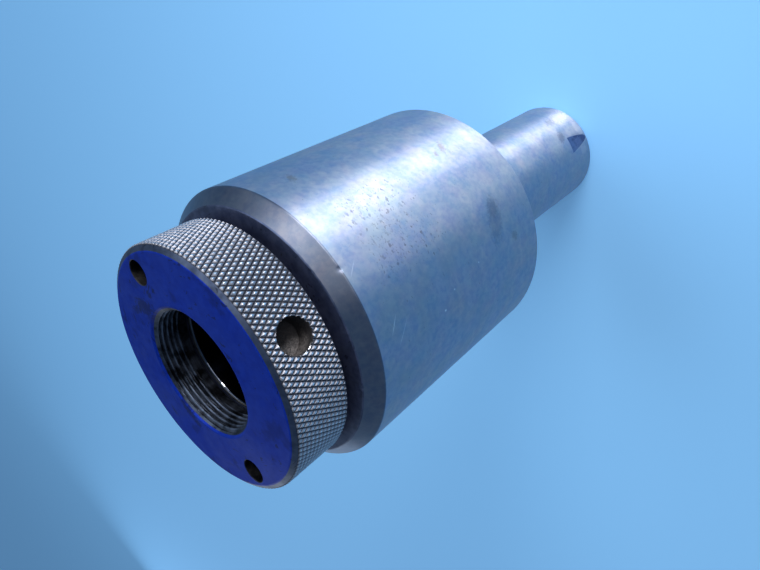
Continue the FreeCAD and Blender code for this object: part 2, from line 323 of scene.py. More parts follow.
@dataclass(frozen=True)
class Drill:
    """A round hole with a drilled end, cut along its own axis from a mouth inwards.

    Sizes are in metres. The place is a point on the axis level with the hole's full-width floor.
    """

    place: Vector
    outwards: Vector
    radius: float
    length: float
    cone: float
    flare: float = 0.0
    flare_at: float = 0.0
    chipped_to: Vector | None = None
    chip: float = 0.0
    steps: int = 96

    def chipping(self, turn_to: Matrix) -> np.ndarray:
        """How much wider the mouth is at each step round it, where knocks have broken its edge.

        Args:
            turn_to: the rotation from the cutter's own frame to the part's.

        Returns:
            An extra radius for each step.
        """
        if self.chipped_to is None:
            return np.zeros(self.steps)
        way = turn_to.inverted() @ self.chipped_to
        turn = np.arange(self.steps) * (2 * math.pi / self.steps)
        near = np.clip(np.cos(turn - math.atan2(way.y, way.x)) - CHIP_SPREAD, 0.0, None) / (1 - CHIP_SPREAD)
        ragged = np.random.default_rng(CHIP_SEED).uniform(CHIP_LEAST, 1.0, self.steps)
        return self.chip * np.sqrt(near) * ragged

    def cutter(self, slot: int) -> bpy.types.Object:
        """The tool shape that a boolean takes away.

        Args:
            slot: the material slot that the hole's wall is to have.

        Returns:
            A new mesh object, not yet hidden or removed.
        """
        turn_to = self.outwards.to_track_quat("Z", "Y").to_matrix()
        chips = self.chipping(turn_to)
        stations = [(self.radius, 0.0, 0.0)]
        if self.flare > 0.0:
            stations += [(self.radius, self.flare_at, 0.0), (self.radius + self.flare, self.length, 1.0)]
        else:
            stations += [(self.radius, self.length, 0.0)]
        turn = np.arange(self.steps) * (2 * math.pi / self.steps)
        points = [(0.0, 0.0, -self.cone)]
        for radius, height, share in stations:
            reach = radius + share * chips
            points += [(r * math.cos(a), r * math.sin(a), height) for r, a in zip(reach, turn)]
        faces: list[tuple[int, ...]] = []
        for step in range(self.steps):
            following = (step + 1) % self.steps
            faces.append((0, 1 + following, 1 + step))
            for row in range(len(stations) - 1):
                low, high = 1 + row * self.steps, 1 + (row + 1) * self.steps
                faces.append((low + step, low + following, high + following, high + step))
        last = 1 + (len(stations) - 1) * self.steps
        faces.append(tuple(range(last, last + self.steps)))
        mesh = bpy.data.meshes.new("drill")
        mesh.from_pydata(points, [], faces)
        mesh.polygons.foreach_set("material_index", [slot] * len(faces))
        mesh.polygons.foreach_set("use_smooth", [True] * len(faces))
        mesh.transform(Matrix.Translation(self.place) @ turn_to.to_4x4())
        return linked(mesh)


def linked(data: bpy.types.ID) -> bpy.types.Object:
    """Puts a mesh, a lamp or a camera into the scene.

    Args:
        data: what the object is to show.

    Returns:
        A new object of the same name.
    """
    made = bpy.data.objects.new(data.name, data)
    bpy.context.scene.collection.objects.link(made)
    return made


def prism_cutter(outline: Sequence[tuple[float, float]], half_width: float, slot: int) -> bpy.types.Object:
    """A cutting tool with an even section along Y.

    Args:
        outline: its section, as distances along X and heights.
        half_width: how far it reaches to each side.
        slot: the material slot of the faces that it leaves.

    Returns:
        A new mesh object.
    """
    count = len(outline)
    points = [(x, side * half_width, z) for side in (-1.0, 1.0) for x, z in outline]
    faces = [tuple(range(count)), tuple(range(2 * count - 1, count - 1, -1))]
    for step in range(count):
        following = (step + 1) % count
        faces.append((following, step, count + step, count + following))
    mesh = bpy.data.meshes.new("prism")
    mesh.from_pydata(points, [], faces)
    mesh.polygons.foreach_set("material_index", [slot] * len(faces))
    return linked(mesh)


def cut_away(piece: bpy.types.Object, cutters: Sequence[bpy.types.Object]) -> None:
    """Takes every cutter out of a piece, and removes the cutters.

    Args:
        piece: the object to cut; its mesh is replaced.
        cutters: closed mesh objects.
    """
    for cutter in cutters:
        cut = piece.modifiers.new("cut", "BOOLEAN")
        cut.operation = "DIFFERENCE"
        cut.solver = "EXACT"
        cut.material_mode = "INDEX"
        cut.object = cutter
    depsgraph = bpy.context.evaluated_depsgraph_get()
    whole = piece.data
    name = whole.name
    piece_mesh = bpy.data.meshes.new_from_object(piece.evaluated_get(depsgraph))
    piece.modifiers.clear()
    piece.data = piece_mesh
    bpy.data.meshes.remove(whole)
    piece_mesh.name = name
    for cutter in cutters:
        bpy.data.meshes.remove(cutter.data)


SHARP_ANGLE = math.radians(38.0)


def outline_slot(piece: bpy.types.Object, slot: int) -> None:
    """Makes a crisp crease where the faces of one material slot meet any others.

    Args:
        piece: the object whose mesh is changed.
        slot: the number of that material slot.
    """
    net = bmesh.new()
    net.from_mesh(piece.data)
    for edge in net.edges:
        if len({face.material_index == slot for face in edge.link_faces}) == 2:
            edge.smooth = False
    net.to_mesh(piece.data)
    net.free()


def finish_shading(piece: bpy.types.Object) -> None:
    """Keeps creases crisp and lets broad walls set the shading of their small roundings.

    Args:
        piece: the object to shade.
    """
    piece.data.set_sharp_from_angle(angle=SHARP_ANGLE)
    weighting = piece.modifiers.new("weighted_shading", "WEIGHTED_NORMAL")
    weighting.keep_sharp = True


# The places of a Mix node's colour sockets, which share their names with its other kinds
MIX_COLOUR_INPUTS = (0, 6, 7)
MIX_COLOUR_OUTPUT = 2


class Bench:
    """Places and joins the nodes of one material or shared effect."""

    def __init__(self, tree: bpy.types.NodeTree) -> None:
        """Works on that tree."""
        self.tree = tree

    def node(self, kind: str, **settings: object) -> bpy.types.Node:
        """Places a node.

        Args:
            kind: the node's type.
            settings: properties of the node, with their values.

        Returns:
            The new node.
        """
        made = self.tree.nodes.new(kind)
        for key, setting in settings.items():
            setattr(made, key, setting)
        return made

    def feed(self, socket: bpy.types.NodeSocket, source: object) -> None:
        """Joins a socket to another socket, or sets its plain value.

        Args:
            socket: the input to feed.
            source: an output, a number or a colour.
        """
        if isinstance(source, bpy.types.NodeSocket):
            self.tree.links.new(source, socket)
        elif isinstance(source, tuple) and len(source) == 3 and socket.type == "RGBA":
            socket.default_value = (*source, 1.0)
        else:
            socket.default_value = source

    def maths(self, operation: str, *terms: object) -> bpy.types.NodeSocket:
        """One step of arithmetic.

        Args:
            operation: the step's name in a Math node.
            terms: sockets or numbers.

        Returns:
            The result's socket.
        """
        made = self.node("ShaderNodeMath", operation=operation)
        for socket, term in zip(made.inputs, terms):
            self.feed(socket, term)
        return made.outputs[0]

    def plus(self, first: object, second: object) -> bpy.types.NodeSocket:
        """The sum of two terms."""
        return self.maths("ADD", first, second)

    def minus(self, first: object, second: object) -> bpy.types.NodeSocket:
        """The first term less the second."""
        return self.maths("SUBTRACT", first, second)

    def times(self, first: object, second: object) -> bpy.types.NodeSocket:
        """The product of two terms."""
        return self.maths("MULTIPLY", first, second)

    def over(self, first: object, second: object) -> bpy.types.NodeSocket:
        """The first term divided by the second."""
        return self.maths("DIVIDE", first, second)

    def mapped(self, kind: str, **terms: object) -> bpy.types.NodeSocket:
        """Maps a value from one range to another, and holds it at the ends.

        Args:
            kind: the way between the ends, as a Map Range node names it.
            terms: its inputs by name, with an underscore for a space.

        Returns:
            The result's socket.
        """
        made = self.node("ShaderNodeMapRange", interpolation_type=kind, clamp=True)
        for key, term in terms.items():
            self.feed(made.inputs[key.replace("_", " ")], term)
        return made.outputs["Result"]

    def ease(self, source: object, low: object, high: object) -> bpy.types.NodeSocket:
        """A smooth step from 0 at low to 1 at high."""
        return self.mapped("SMOOTHSTEP", Value=source, From_Min=low, From_Max=high)

    def ease_between(self, source: object, ends: tuple[float, float, float, float]) -> bpy.types.NodeSocket:
        """A smooth rise over the first two values and a smooth fall over the last two."""
        return self.times(self.ease(source, *ends[:2]), self.ease(source, ends[2], ends[3]))

    def span(self, share: object, low: float, high: float) -> bpy.types.NodeSocket:
        """A straight run from low, at a share of 0, to high, at 1."""
        return self.mapped("LINEAR", Value=share, To_Min=low, To_Max=high)

    def blend(self, share: object, first: object, second: object) -> bpy.types.NodeSocket:
        """Mixes two colours.

        Args:
            share: how much of the second colour shows.
            first: a colour or its socket.
            second: a colour or its socket.

        Returns:
            The mixed colour's socket.
        """
        made = self.node("ShaderNodeMix", data_type="RGBA")
        for place, term in zip(MIX_COLOUR_INPUTS, (share, first, second)):
            self.feed(made.inputs[place], term)
        return made.outputs[MIX_COLOUR_OUTPUT]

    def point(self, x: object, y: object, z: object) -> bpy.types.NodeSocket:
        """Joins three numbers into a vector.

        Args:
            x: the first number or socket.
            y: the second.
            z: the third.

        Returns:
            The vector's socket.
        """
        made = self.node("ShaderNodeCombineXYZ")
        for socket, term in zip(made.inputs, (x, y, z)):
            self.feed(socket, term)
        return made.outputs[0]

    def noise(self, place: object, detail: float, roughness: float) -> bpy.types.NodeSocket:
        """Smooth noise with one swing for each unit of the place.

        Args:
            place: the vector to read it at.
            detail: how many finer layers it has.
            roughness: how strong the finer layers are.

        Returns:
            The value's socket.
        """
        made = self.node("ShaderNodeTexNoise")
        settings = {"Vector": place, "Scale": 1.0, "Detail": detail, "Roughness": roughness}
        for key, term in settings.items():
            self.feed(made.inputs[key], term)
        return made.outputs[0]

    def effect(self, group: bpy.types.NodeTree, **values: object) -> bpy.types.Node:
        """Places a shared effect.

        Args:
            group: the effect's node group.
            values: its inputs by name, with an underscore for a space.

        Returns:
            The group's node.
        """
        made = self.node("ShaderNodeGroup", node_tree=group)
        for key, term in values.items():
            self.feed(made.inputs[key.replace("_", " ")], term)
        return made

    def mask(self, group: bpy.types.NodeTree, **values: object) -> bpy.types.NodeSocket:
        """Places a shared effect that has a single output, and gives that output."""
        return self.effect(group, **values).outputs[0]


def shared_effect(name: str, inputs: dict[str, float], outputs: Sequence[str],
                  lay: Callable[[Bench, bpy.types.Node, bpy.types.Node], None]) -> bpy.types.NodeTree:
    """A node group that every material with that effect shares.

    Args:
        name: the group's name.
        inputs: the names of its number inputs, with their defaults.
        outputs: the names of its number outputs.
        lay: the function that fills it, given the bench and its input and output nodes.

    Returns:
        The group, built the first time and found again after that.
    """
    known = bpy.data.node_groups.get(name)
    if known is not None:
        return known
    tree = bpy.data.node_groups.new(name, "ShaderNodeTree")
    for key, default in inputs.items():
        socket = tree.interface.new_socket(name=key, in_out="INPUT", socket_type="NodeSocketFloat")
        socket.default_value = default
    for key in outputs:
        tree.interface.new_socket(name=key, in_out="OUTPUT", socket_type="NodeSocketFloat")
    bench = Bench(tree)
    lay(bench, bench.node("NodeGroupInput"), bench.node("NodeGroupOutput"))
    return tree


# Where noise turns into clouds, flecks and stains; flecks are left out at the azimuth's seam
CLOUD_EDGES = (0.34, 0.66)
FLECK_LEAN = 0.35
FLECK_RARITY = 3.0
FLECK_EDGE = 0.05
FLECK_SLICE = 3.0
SEAM_AZIMUTHS = (179.5, 177.0)
STAIN_EDGES = (0.45, 1.0)


def lathe_place() -> bpy.types.NodeTree:
    """Where a point lies on the lathe: its radius and height in millimetres, and its azimuth in degrees.

    Returns:
        The shared group.
    """

    def lay(bench: Bench, given: bpy.types.Node, result: bpy.types.Node) -> None:
        """Works the three values out from the object's own coordinates.

        Args:
            bench: the group's bench.
            given: its input node, which is not used.
            result: its output node.
        """
        parts = bench.node("ShaderNodeSeparateXYZ")
        bench.feed(parts.inputs[0], bench.node("ShaderNodeTexCoord").outputs["Object"])
        x, y, z = parts.outputs
        squares = bench.plus(bench.times(x, x), bench.times(y, y))
        bench.feed(result.inputs["Radius"], bench.times(bench.maths("SQRT", squares), 1 / MM))
        bench.feed(result.inputs["Height"], bench.times(z, 1 / MM))
        turn = bench.maths("ARCTAN2", y, x)
        bench.feed(result.inputs["Azimuth"], bench.times(turn, math.degrees(1.0)))

    return shared_effect("lathe_place", {}, ("Radius", "Height", "Azimuth"), lay)


def turning_marks() -> bpy.types.NodeTree:
    """Fine rings left by the tool or the wheel, at a spacing in millimetres.

    Returns:
        The shared group.
    """

    def lay(bench: Bench, given: bpy.types.Node, result: bpy.types.Node) -> None:
        """Stretches noise all the way round the axis.

        Args:
            bench: the group's bench.
            given: its input node.
            result: its output node.
        """
        place = bench.effect(lathe_place())
        along = bench.minus(place.outputs["Height"], place.outputs["Radius"])
        step = bench.over(along, given.outputs["Spacing"])
        turn = bench.maths("RADIANS", place.outputs["Azimuth"])
        across = bench.times(bench.maths("COSINE", turn), given.outputs["Waver"])
        around = bench.times(bench.maths("SINE", turn), given.outputs["Waver"])
        rings = bench.noise(bench.point(step, across, around), detail=3.0, roughness=0.6)
        bench.feed(result.inputs["Value"], rings)

    return shared_effect("turning_marks", {"Spacing": 0.2, "Waver": 2.0}, ("Value",), lay)


def clouding() -> bpy.types.NodeTree:
    """Cloudy unevenness of a size in millimetres.

    Returns:
        The shared group.
    """

    def lay(bench: Bench, given: bpy.types.Node, result: bpy.types.Node) -> None:
        """Noise on the object's own coordinates.

        Args:
            bench: the group's bench.
            given: its input node.
            result: its output node.
        """
        scaled = bench.node("ShaderNodeVectorMath", operation="SCALE")
        bench.feed(scaled.inputs[0], bench.node("ShaderNodeTexCoord").outputs["Object"])
        bench.feed(scaled.inputs["Scale"], bench.over(1 / MM, given.outputs["Size"]))
        cloud = bench.noise(scaled.outputs[0], detail=4.0, roughness=0.58)
        bench.feed(result.inputs["Mask"], bench.ease(cloud, *CLOUD_EDGES))

    return shared_effect("clouding", {"Size": 8.0}, ("Mask",), lay)


def flecks() -> bpy.types.NodeTree:
    """Scattered small pits, drawn out round the axis, at a spacing in millimetres.

    Returns:
        The shared group.
    """

    def lay(bench: Bench, given: bpy.types.Node, result: bpy.types.Node) -> None:
        """Cells round the axis, of which only some hold a fleck, of uneven size.

        Args:
            bench: the group's bench.
            given: its input node.
            result: its output node.
        """
        place = bench.effect(lathe_place())
        arc = bench.times(bench.maths("RADIANS", place.outputs["Azimuth"]), place.outputs["Radius"])
        walk = bench.minus(place.outputs["Height"], place.outputs["Radius"])
        lean = bench.plus(walk, bench.times(arc, FLECK_LEAN))
        across = bench.over(bench.over(arc, given.outputs["Stretch"]), given.outputs["Spacing"])
        along = bench.over(lean, given.outputs["Spacing"])
        stray = bench.noise(bench.point(across, along, FLECK_SLICE), detail=1.0, roughness=0.5)
        along = bench.plus(along, bench.times(stray, given.outputs["Stray"]))
        across = bench.plus(across, bench.times(stray, given.outputs["Stray"]))
        cells = bench.node("ShaderNodeTexVoronoi", voronoi_dimensions="2D")
        bench.feed(cells.inputs["Vector"], bench.point(across, along, 0.0))
        cells.inputs["Scale"].default_value = 1.0
        chance = bench.node("ShaderNodeSeparateColor")
        bench.feed(chance.inputs[0], cells.outputs["Color"])
        reach = bench.times(bench.maths("POWER", chance.outputs[0], FLECK_RARITY), given.outputs["Reach"])
        inside = bench.minus(reach, cells.outputs["Distance"])
        seam = bench.ease(bench.maths("ABSOLUTE", place.outputs["Azimuth"]), *SEAM_AZIMUTHS)
        bench.feed(result.inputs["Mask"], bench.times(bench.ease(inside, 0.0, FLECK_EDGE), seam))

    sizes = {"Spacing": 1.2, "Stretch": 2.0, "Reach": 0.3, "Stray": 2.5}
    return shared_effect("flecks", sizes, ("Mask",), lay)


def stain() -> bpy.types.NodeTree:
    """One soft mark at a walk and azimuth, leaning by a slope, with a ragged edge.

    A walk is a height less a radius, in millimetres, and so it changes along walls and faces alike.

    Returns:
        The shared group.
    """

    def lay(bench: Bench, given: bpy.types.Node, result: bpy.types.Node) -> None:
        """A stretched round patch whose edge is broken by noise.

        Args:
            bench: the group's bench.
            given: its input node.
            result: its output node.
        """
        place = bench.effect(lathe_place())
        walk = bench.minus(place.outputs["Height"], place.outputs["Radius"])
        rise = bench.minus(walk, given.outputs["Walk"])
        turn = bench.minus(place.outputs["Azimuth"], given.outputs["Azimuth"])
        arc = bench.times(bench.maths("RADIANS", turn), place.outputs["Radius"])
        lean = bench.plus(rise, bench.times(arc, given.outputs["Slope"]))
        tall = bench.over(lean, given.outputs["Tall"])
        wide = bench.over(arc, given.outputs["Wide"])
        squares = bench.plus(bench.times(tall, tall), bench.times(wide, wide))
        grain = bench.minus(bench.noise(bench.point(arc, rise, 0.0), detail=4.0, roughness=0.7), 0.5)
        edge = bench.plus(bench.maths("SQRT", squares), bench.times(grain, given.outputs["Ragged"]))
        outside = bench.ease(edge, *STAIN_EDGES)
        bench.feed(result.inputs["Mask"], bench.minus(1.0, outside))

    places = {"Walk": 0.0, "Azimuth": 0.0, "Tall": 1.0, "Wide": 1.0, "Slope": 0.0, "Ragged": 1.0}
    return shared_effect("stain", places, ("Mask",), lay)


class MarkKind(Enum):
    """What a mark on a wall or face is."""

    STAIN = "brown stain"
    SMUDGE = "dark smudge"
    SCRATCH = "bright scratch"
    WORN = "pale worn patch"


@dataclass(frozen=True)
class Mark:
    """A mark on a wall or face, placed by height and radius in millimetres and azimuth in degrees.

    It is so many millimetres tall and wide, leans by its slope, and its edge is more or less ragged.
    """

    kind: MarkKind
    height: float
    azimuth: float
    tall: float
    wide: float
    slope: float = 0.0
    ragged: float = 1.2
    strength: float = 1.0
    radius: float = 38.1

    def share(self, bench: Bench) -> bpy.types.NodeSocket:
        """How much of the mark shows at a point.

        Args:
            bench: the material's bench.

        Returns:
            The mask's socket.
        """
        mask = bench.mask(stain(), Walk=self.height - self.radius, Azimuth=self.azimuth, Tall=self.tall,
                          Wide=self.wide, Slope=self.slope, Ragged=self.ragged)
        return bench.times(mask, self.strength)


# The numbers of a mark are, in order: height, azimuth, tall, wide, slope, ragged, strength, radius
BODY_MARKS = (
    Mark(MarkKind.SMUDGE, 100.3, -4.6, 4.0, 7.4, 0.33, 1.8, 0.24),
    Mark(MarkKind.SMUDGE, 99.2, 0.5, 2.6, 3.8, 0.30, 2.2, 0.24),
    Mark(MarkKind.SMUDGE, 94.0, -15.0, 1.6, 1.8, 0.0, 2.6, 0.30),
    Mark(MarkKind.STAIN, 99.5, 33.0, 1.3, 2.6, 0.5, 3.0, 0.45),
    Mark(MarkKind.STAIN, 103.5, 31.0, 0.8, 1.4, 0.5, 3.0, 0.45),
    Mark(MarkKind.STAIN, 143.0, 52.0, 1.2, 2.4, 0.3, 3.0, 0.40),
    Mark(MarkKind.SMUDGE, 14.0, 36.0, 4.0, 2.4, 0.4, 2.6, 0.35, 19.05),
    Mark(MarkKind.SMUDGE, 16.8, 13.5, 2.6, 2.8, 0.5, 2.4, 0.42, 19.05),
    Mark(MarkKind.WORN, 7.0, 36.0, 6.5, 4.5, 0.2, 2.6, 0.40, 19.05),
    Mark(MarkKind.WORN, 3.2, 14.0, 3.0, 4.5, 0.0, 1.8, 0.45, 19.05),
    Mark(MarkKind.WORN, 5.5, -13.0, 3.0, 2.2, 0.0, 1.6, 0.35, 19.05),
    Mark(MarkKind.SCRATCH, 147.4, -14.5, 0.16, 2.4, 0.75, 0.5, 0.9),
    Mark(MarkKind.SCRATCH, 145.2, -19.0, 0.12, 3.2, 0.9, 0.5, 0.7),
    Mark(MarkKind.SCRATCH, 129.3, -23.0, 0.5, 0.35, 0.0, 0.6, 0.9),
    Mark(MarkKind.SCRATCH, 124.4, -18.0, 0.4, 0.3, 0.0, 0.6, 0.8),
    Mark(MarkKind.SCRATCH, 112.5, -15.0, 0.35, 0.3, 0.0, 0.6, 0.7),
    Mark(MarkKind.SCRATCH, 151.0, 9.0, 0.14, 1.6, 1.2, 0.5, 0.6),
)
FACE_MARKS = (
    Mark(MarkKind.SMUDGE, 176.4, 109.0, 3.4, 4.4, 0.5, 2.6, 0.80, 20.6),
    Mark(MarkKind.SMUDGE, 176.4, 121.0, 1.6, 2.6, 0.5, 2.8, 0.60, 23.0),
    Mark(MarkKind.SMUDGE, 176.4, 92.0, 1.0, 1.3, 0.0, 2.2, 0.75, 21.2),
    Mark(MarkKind.SMUDGE, 176.4, 84.0, 1.2, 0.8, 0.0, 2.2, 0.60, 21.8),
    Mark(MarkKind.SMUDGE, 176.4, -152.0, 1.5, 4.6, 0.2, 2.4, 0.85, 18.4),
    Mark(MarkKind.SMUDGE, 176.4, -140.0, 1.3, 2.2, 0.2, 2.6, 0.70, 19.6),
)
# A painted glint: the lamp's reflection on the seat's mouth edge, laid as a bright mark in the colour
SEAT_PAINTED_GLINT = (Mark(MarkKind.SCRATCH, 166.3, -151.0, 1.1, 1.0, radius=16.1),)


# The turn that draws gloss across the tool marks, and how metallic oiled steel is
QUARTER_TURN = 0.25
OILED_METAL = 0.95


@dataclass(frozen=True)
class Finish:
    """What every finish shares: its name, and the material that its own nodes are laid in."""

    name: str

    def material(self) -> bpy.types.Material:
        """Makes the finish's material.

        Returns:
            A new material, whose shader stays in the material itself.
        """
        made = bpy.data.materials.new(self.name)
        made.use_nodes = True
        made.node_tree.nodes.clear()
        bench = Bench(made.node_tree)
        shader = bench.node("ShaderNodeBsdfPrincipled")
        output = bench.node("ShaderNodeOutputMaterial")
        bench.feed(output.inputs["Surface"], shader.outputs[0])
        self.lay(bench, shader)
        return made

    def lay(self, bench: Bench, shader: bpy.types.Node) -> None:
        """Lays the finish's own nodes; each finish has its own way."""
        raise NotImplementedError


def relief(bench: Bench, height: object, depth: float, strength: float) -> bpy.types.NodeSocket:
    """A bumped normal.

    Args:
        bench: the material's bench.
        height: the relief, from 0 to 1.
        depth: how deep 1 is, in millimetres.
        strength: how much of the bump shows.

    Returns:
        The normal socket.
    """
    bump = bench.node("ShaderNodeBump")
    bump.inputs["Strength"].default_value = strength
    bump.inputs["Distance"].default_value = depth * MM
    bench.feed(bump.inputs["Height"], height)
    return bump.outputs[0]


def draw_round_axis(bench: Bench, shader: bpy.types.Node, amount: float) -> None:
    """Spreads a turned wall's gloss across its tool marks.

    Args:
        bench: the material's bench.
        shader: its shader.
        amount: how strongly the gloss is drawn out.
    """
    tangent = bench.node("ShaderNodeTangent", direction_type="RADIAL", axis="Z")
    bench.feed(shader.inputs["Tangent"], tangent.outputs[0])
    shader.inputs["Anisotropic"].default_value = amount
    shader.inputs["Anisotropic Rotation"].default_value = QUARTER_TURN


@dataclass(frozen=True)
class GroundSteel(Finish):
    """Cylindrically ground steel that has been handled for years: satin, clouded and pitted."""

    # The cool tone's blue is partly a painted blue reflection, laid into the steel's own colour
    cool_with_painted_blue: Colour = (0.25, 0.33, 0.52)
    warm: Colour = (0.55, 0.56, 0.60)
    rosy: Colour = (0.56, 0.42, 0.54)
    teal: Colour = (0.27, 0.43, 0.52)
    pit: Colour = (0.16, 0.17, 0.22)
    brown: Colour = (0.24, 0.17, 0.12)
    smudge: Colour = (0.13, 0.13, 0.16)
    bright: Colour = (0.85, 0.86, 0.88)
    worn: Colour = (0.80, 0.74, 0.76)
    gloss: tuple[float, float] = (0.42, 0.56)
    drawn: float = 0.90
    marks: tuple[Mark, ...] = BODY_MARKS
    cloud_size: float = 9.0
    mottle_size: float = 1.6
    cloud_share: float = 0.4
    broad_share: float = 0.35
    rosy_size: float = 4.0
    rosy_share: float = 0.22
    teal_size: float = 6.5
    teal_share: float = 0.3
    pit_heights: tuple[float, float, float, float] = (116.0, 130.0, 147.0, 142.0)
    pit_azimuths: tuple[float, float, float, float] = (-8.0, 6.0, 38.0, 28.0)
    pit_spacing: float = 0.95
    pit_reach: tuple[float, float] = (0.12, 0.42)
    speck_spacing: float = 0.5
    speck_reach: tuple[float, float] = (0.10, 0.48)
    speck_share: float = 0.7
    pit_share: float = 0.6
    pit_dullness: float = 0.2
    grain: float = 0.35

    def tint(self, bench: Bench, cloud: object, mottle: object) -> bpy.types.NodeSocket:
        """The clouded colour that lies under the pits and the marks.

        Args:
            bench: the material's bench.
            cloud: the broad clouding.
            mottle: the fine clouding.

        Returns:
            The colour socket.
        """
        broad = bench.mask(turning_marks(), Spacing=2.4, Waver=1.2)
        tone = bench.plus(bench.times(cloud, self.cloud_share), bench.times(mottle, self.cloud_share))
        tone = bench.plus(tone, bench.times(broad, self.broad_share))
        colour = bench.blend(tone, self.cool_with_painted_blue, self.warm)
        blush = bench.mask(clouding(), Size=self.rosy_size)
        colour = bench.blend(bench.times(blush, self.rosy_share), colour, self.rosy)
        tarnish = bench.mask(clouding(), Size=self.teal_size)
        return bench.blend(bench.times(tarnish, self.teal_share), colour, self.teal)

    def pitting(self, bench: Bench, mottle: object) -> bpy.types.NodeSocket:
        """Where the wall is pitted: thickly in one band of one side, and thinly everywhere else.

        Args:
            bench: the material's bench.
            mottle: the fine clouding, which thins the pits out in places.

        Returns:
            The mask socket.
        """
        place = bench.effect(lathe_place())
        zone = bench.ease_between(place.outputs["Height"], self.pit_heights)
        side = bench.ease_between(place.outputs["Azimuth"], self.pit_azimuths)
        thick = bench.times(zone, side)
        pits = bench.mask(flecks(), Spacing=self.pit_spacing, Stretch=1.5, Stray=1.6,
                          Reach=bench.span(thick, *self.pit_reach))
        specks = bench.mask(flecks(), Spacing=self.speck_spacing, Stretch=1.3,
                            Reach=bench.span(thick, *self.speck_reach))
        found = bench.maths("MAXIMUM", pits, bench.times(specks, self.speck_share))
        return bench.times(found, bench.span(mottle, 0.35, 1.0))

    def lay(self, bench: Bench, shader: bpy.types.Node) -> None:
        """Lays the clouded colour, then the pits, the marks and the grinding rings.

        Args:
            bench: the material's bench.
            shader: its shader.
        """
        cloud = bench.mask(clouding(), Size=self.cloud_size)
        mottle = bench.mask(clouding(), Size=self.mottle_size)
        rings = bench.mask(turning_marks(), Spacing=0.16, Waver=3.0)
        pitted = self.pitting(bench, mottle)
        colour = bench.blend(bench.times(pitted, self.pit_share), self.tint(bench, cloud, mottle), self.pit)
        tones = {MarkKind.STAIN: self.brown, MarkKind.SMUDGE: self.smudge, MarkKind.SCRATCH: self.bright,
                 MarkKind.WORN: self.worn}
        for mark in self.marks:
            colour = bench.blend(mark.share(bench), colour, tones[mark.kind])
        bench.feed(shader.inputs["Base Color"], colour)
        uneven = bench.plus(bench.times(cloud, 0.5), bench.times(rings, 0.5))
        rough = bench.plus(bench.span(uneven, *self.gloss), bench.times(pitted, self.pit_dullness))
        bench.feed(shader.inputs["Roughness"], rough)
        shader.inputs["Metallic"].default_value = 1.0
        surface = bench.minus(bench.times(rings, self.grain), pitted)
        bench.feed(shader.inputs["Normal"], relief(bench, surface, depth=0.03, strength=0.6))
        draw_round_axis(bench, shader, self.drawn)


@dataclass(frozen=True)
class BluedSteelAndPaintedShade(Finish):
    """Turned steel, nearly black: blued on the ring and the screws, and painted shade on the body's front
    and on its flat; rubbed and smeared in places.
    """

    deep: Colour
    rubbed: Colour
    smear: Colour = (0.004, 0.010, 0.080)
    gloss: tuple[float, float] = (0.38, 0.55)
    drawn: float = 0.35
    metal: float = 1.0
    sheen: float = 0.5
    marks: tuple[Mark, ...] = ()
    cloud_size: float = 11.0
    mottle_size: float = 2.2
    tone_share: float = 0.35
    smear_size: float = 6.0
    smear_share: float = 0.45
    fleck_spacing: float = 2.1
    fleck_share: float = 0.8

    def lay(self, bench: Bench, shader: bpy.types.Node) -> None:
        """Lays the rubbed dark tone, then the smears, the flecks and the marks.

        Args:
            bench: the material's bench.
            shader: its shader.
        """
        cloud = bench.mask(clouding(), Size=self.cloud_size)
        mottle = bench.mask(clouding(), Size=self.mottle_size)
        rings = bench.mask(turning_marks(), Spacing=0.22, Waver=1.5)
        tone = bench.plus(bench.times(mottle, self.tone_share), bench.times(rings, self.tone_share))
        colour = bench.blend(tone, self.deep, self.rubbed)
        smeared = bench.times(cloud, bench.mask(clouding(), Size=self.smear_size))
        dirty = bench.times(bench.ease(smeared, 0.45, 0.9), self.smear_share)
        colour = bench.blend(dirty, colour, self.smear)
        specks = bench.mask(flecks(), Spacing=self.fleck_spacing, Stretch=1.2, Reach=0.28)
        colour = bench.blend(bench.times(specks, self.fleck_share), colour, self.smear)
        for mark in self.marks:
            colour = bench.blend(mark.share(bench), colour, self.smear)
        bench.feed(shader.inputs["Base Color"], colour)
        bench.feed(shader.inputs["Roughness"], bench.span(cloud, *self.gloss))
        shader.inputs["Metallic"].default_value = self.metal
        shader.inputs["Specular IOR Level"].default_value = self.sheen
        surface = bench.plus(bench.times(rings, 0.5), bench.times(mottle, 0.5))
        bench.feed(shader.inputs["Normal"], relief(bench, surface, depth=0.02, strength=0.4))
        draw_round_axis(bench, shader, self.drawn)


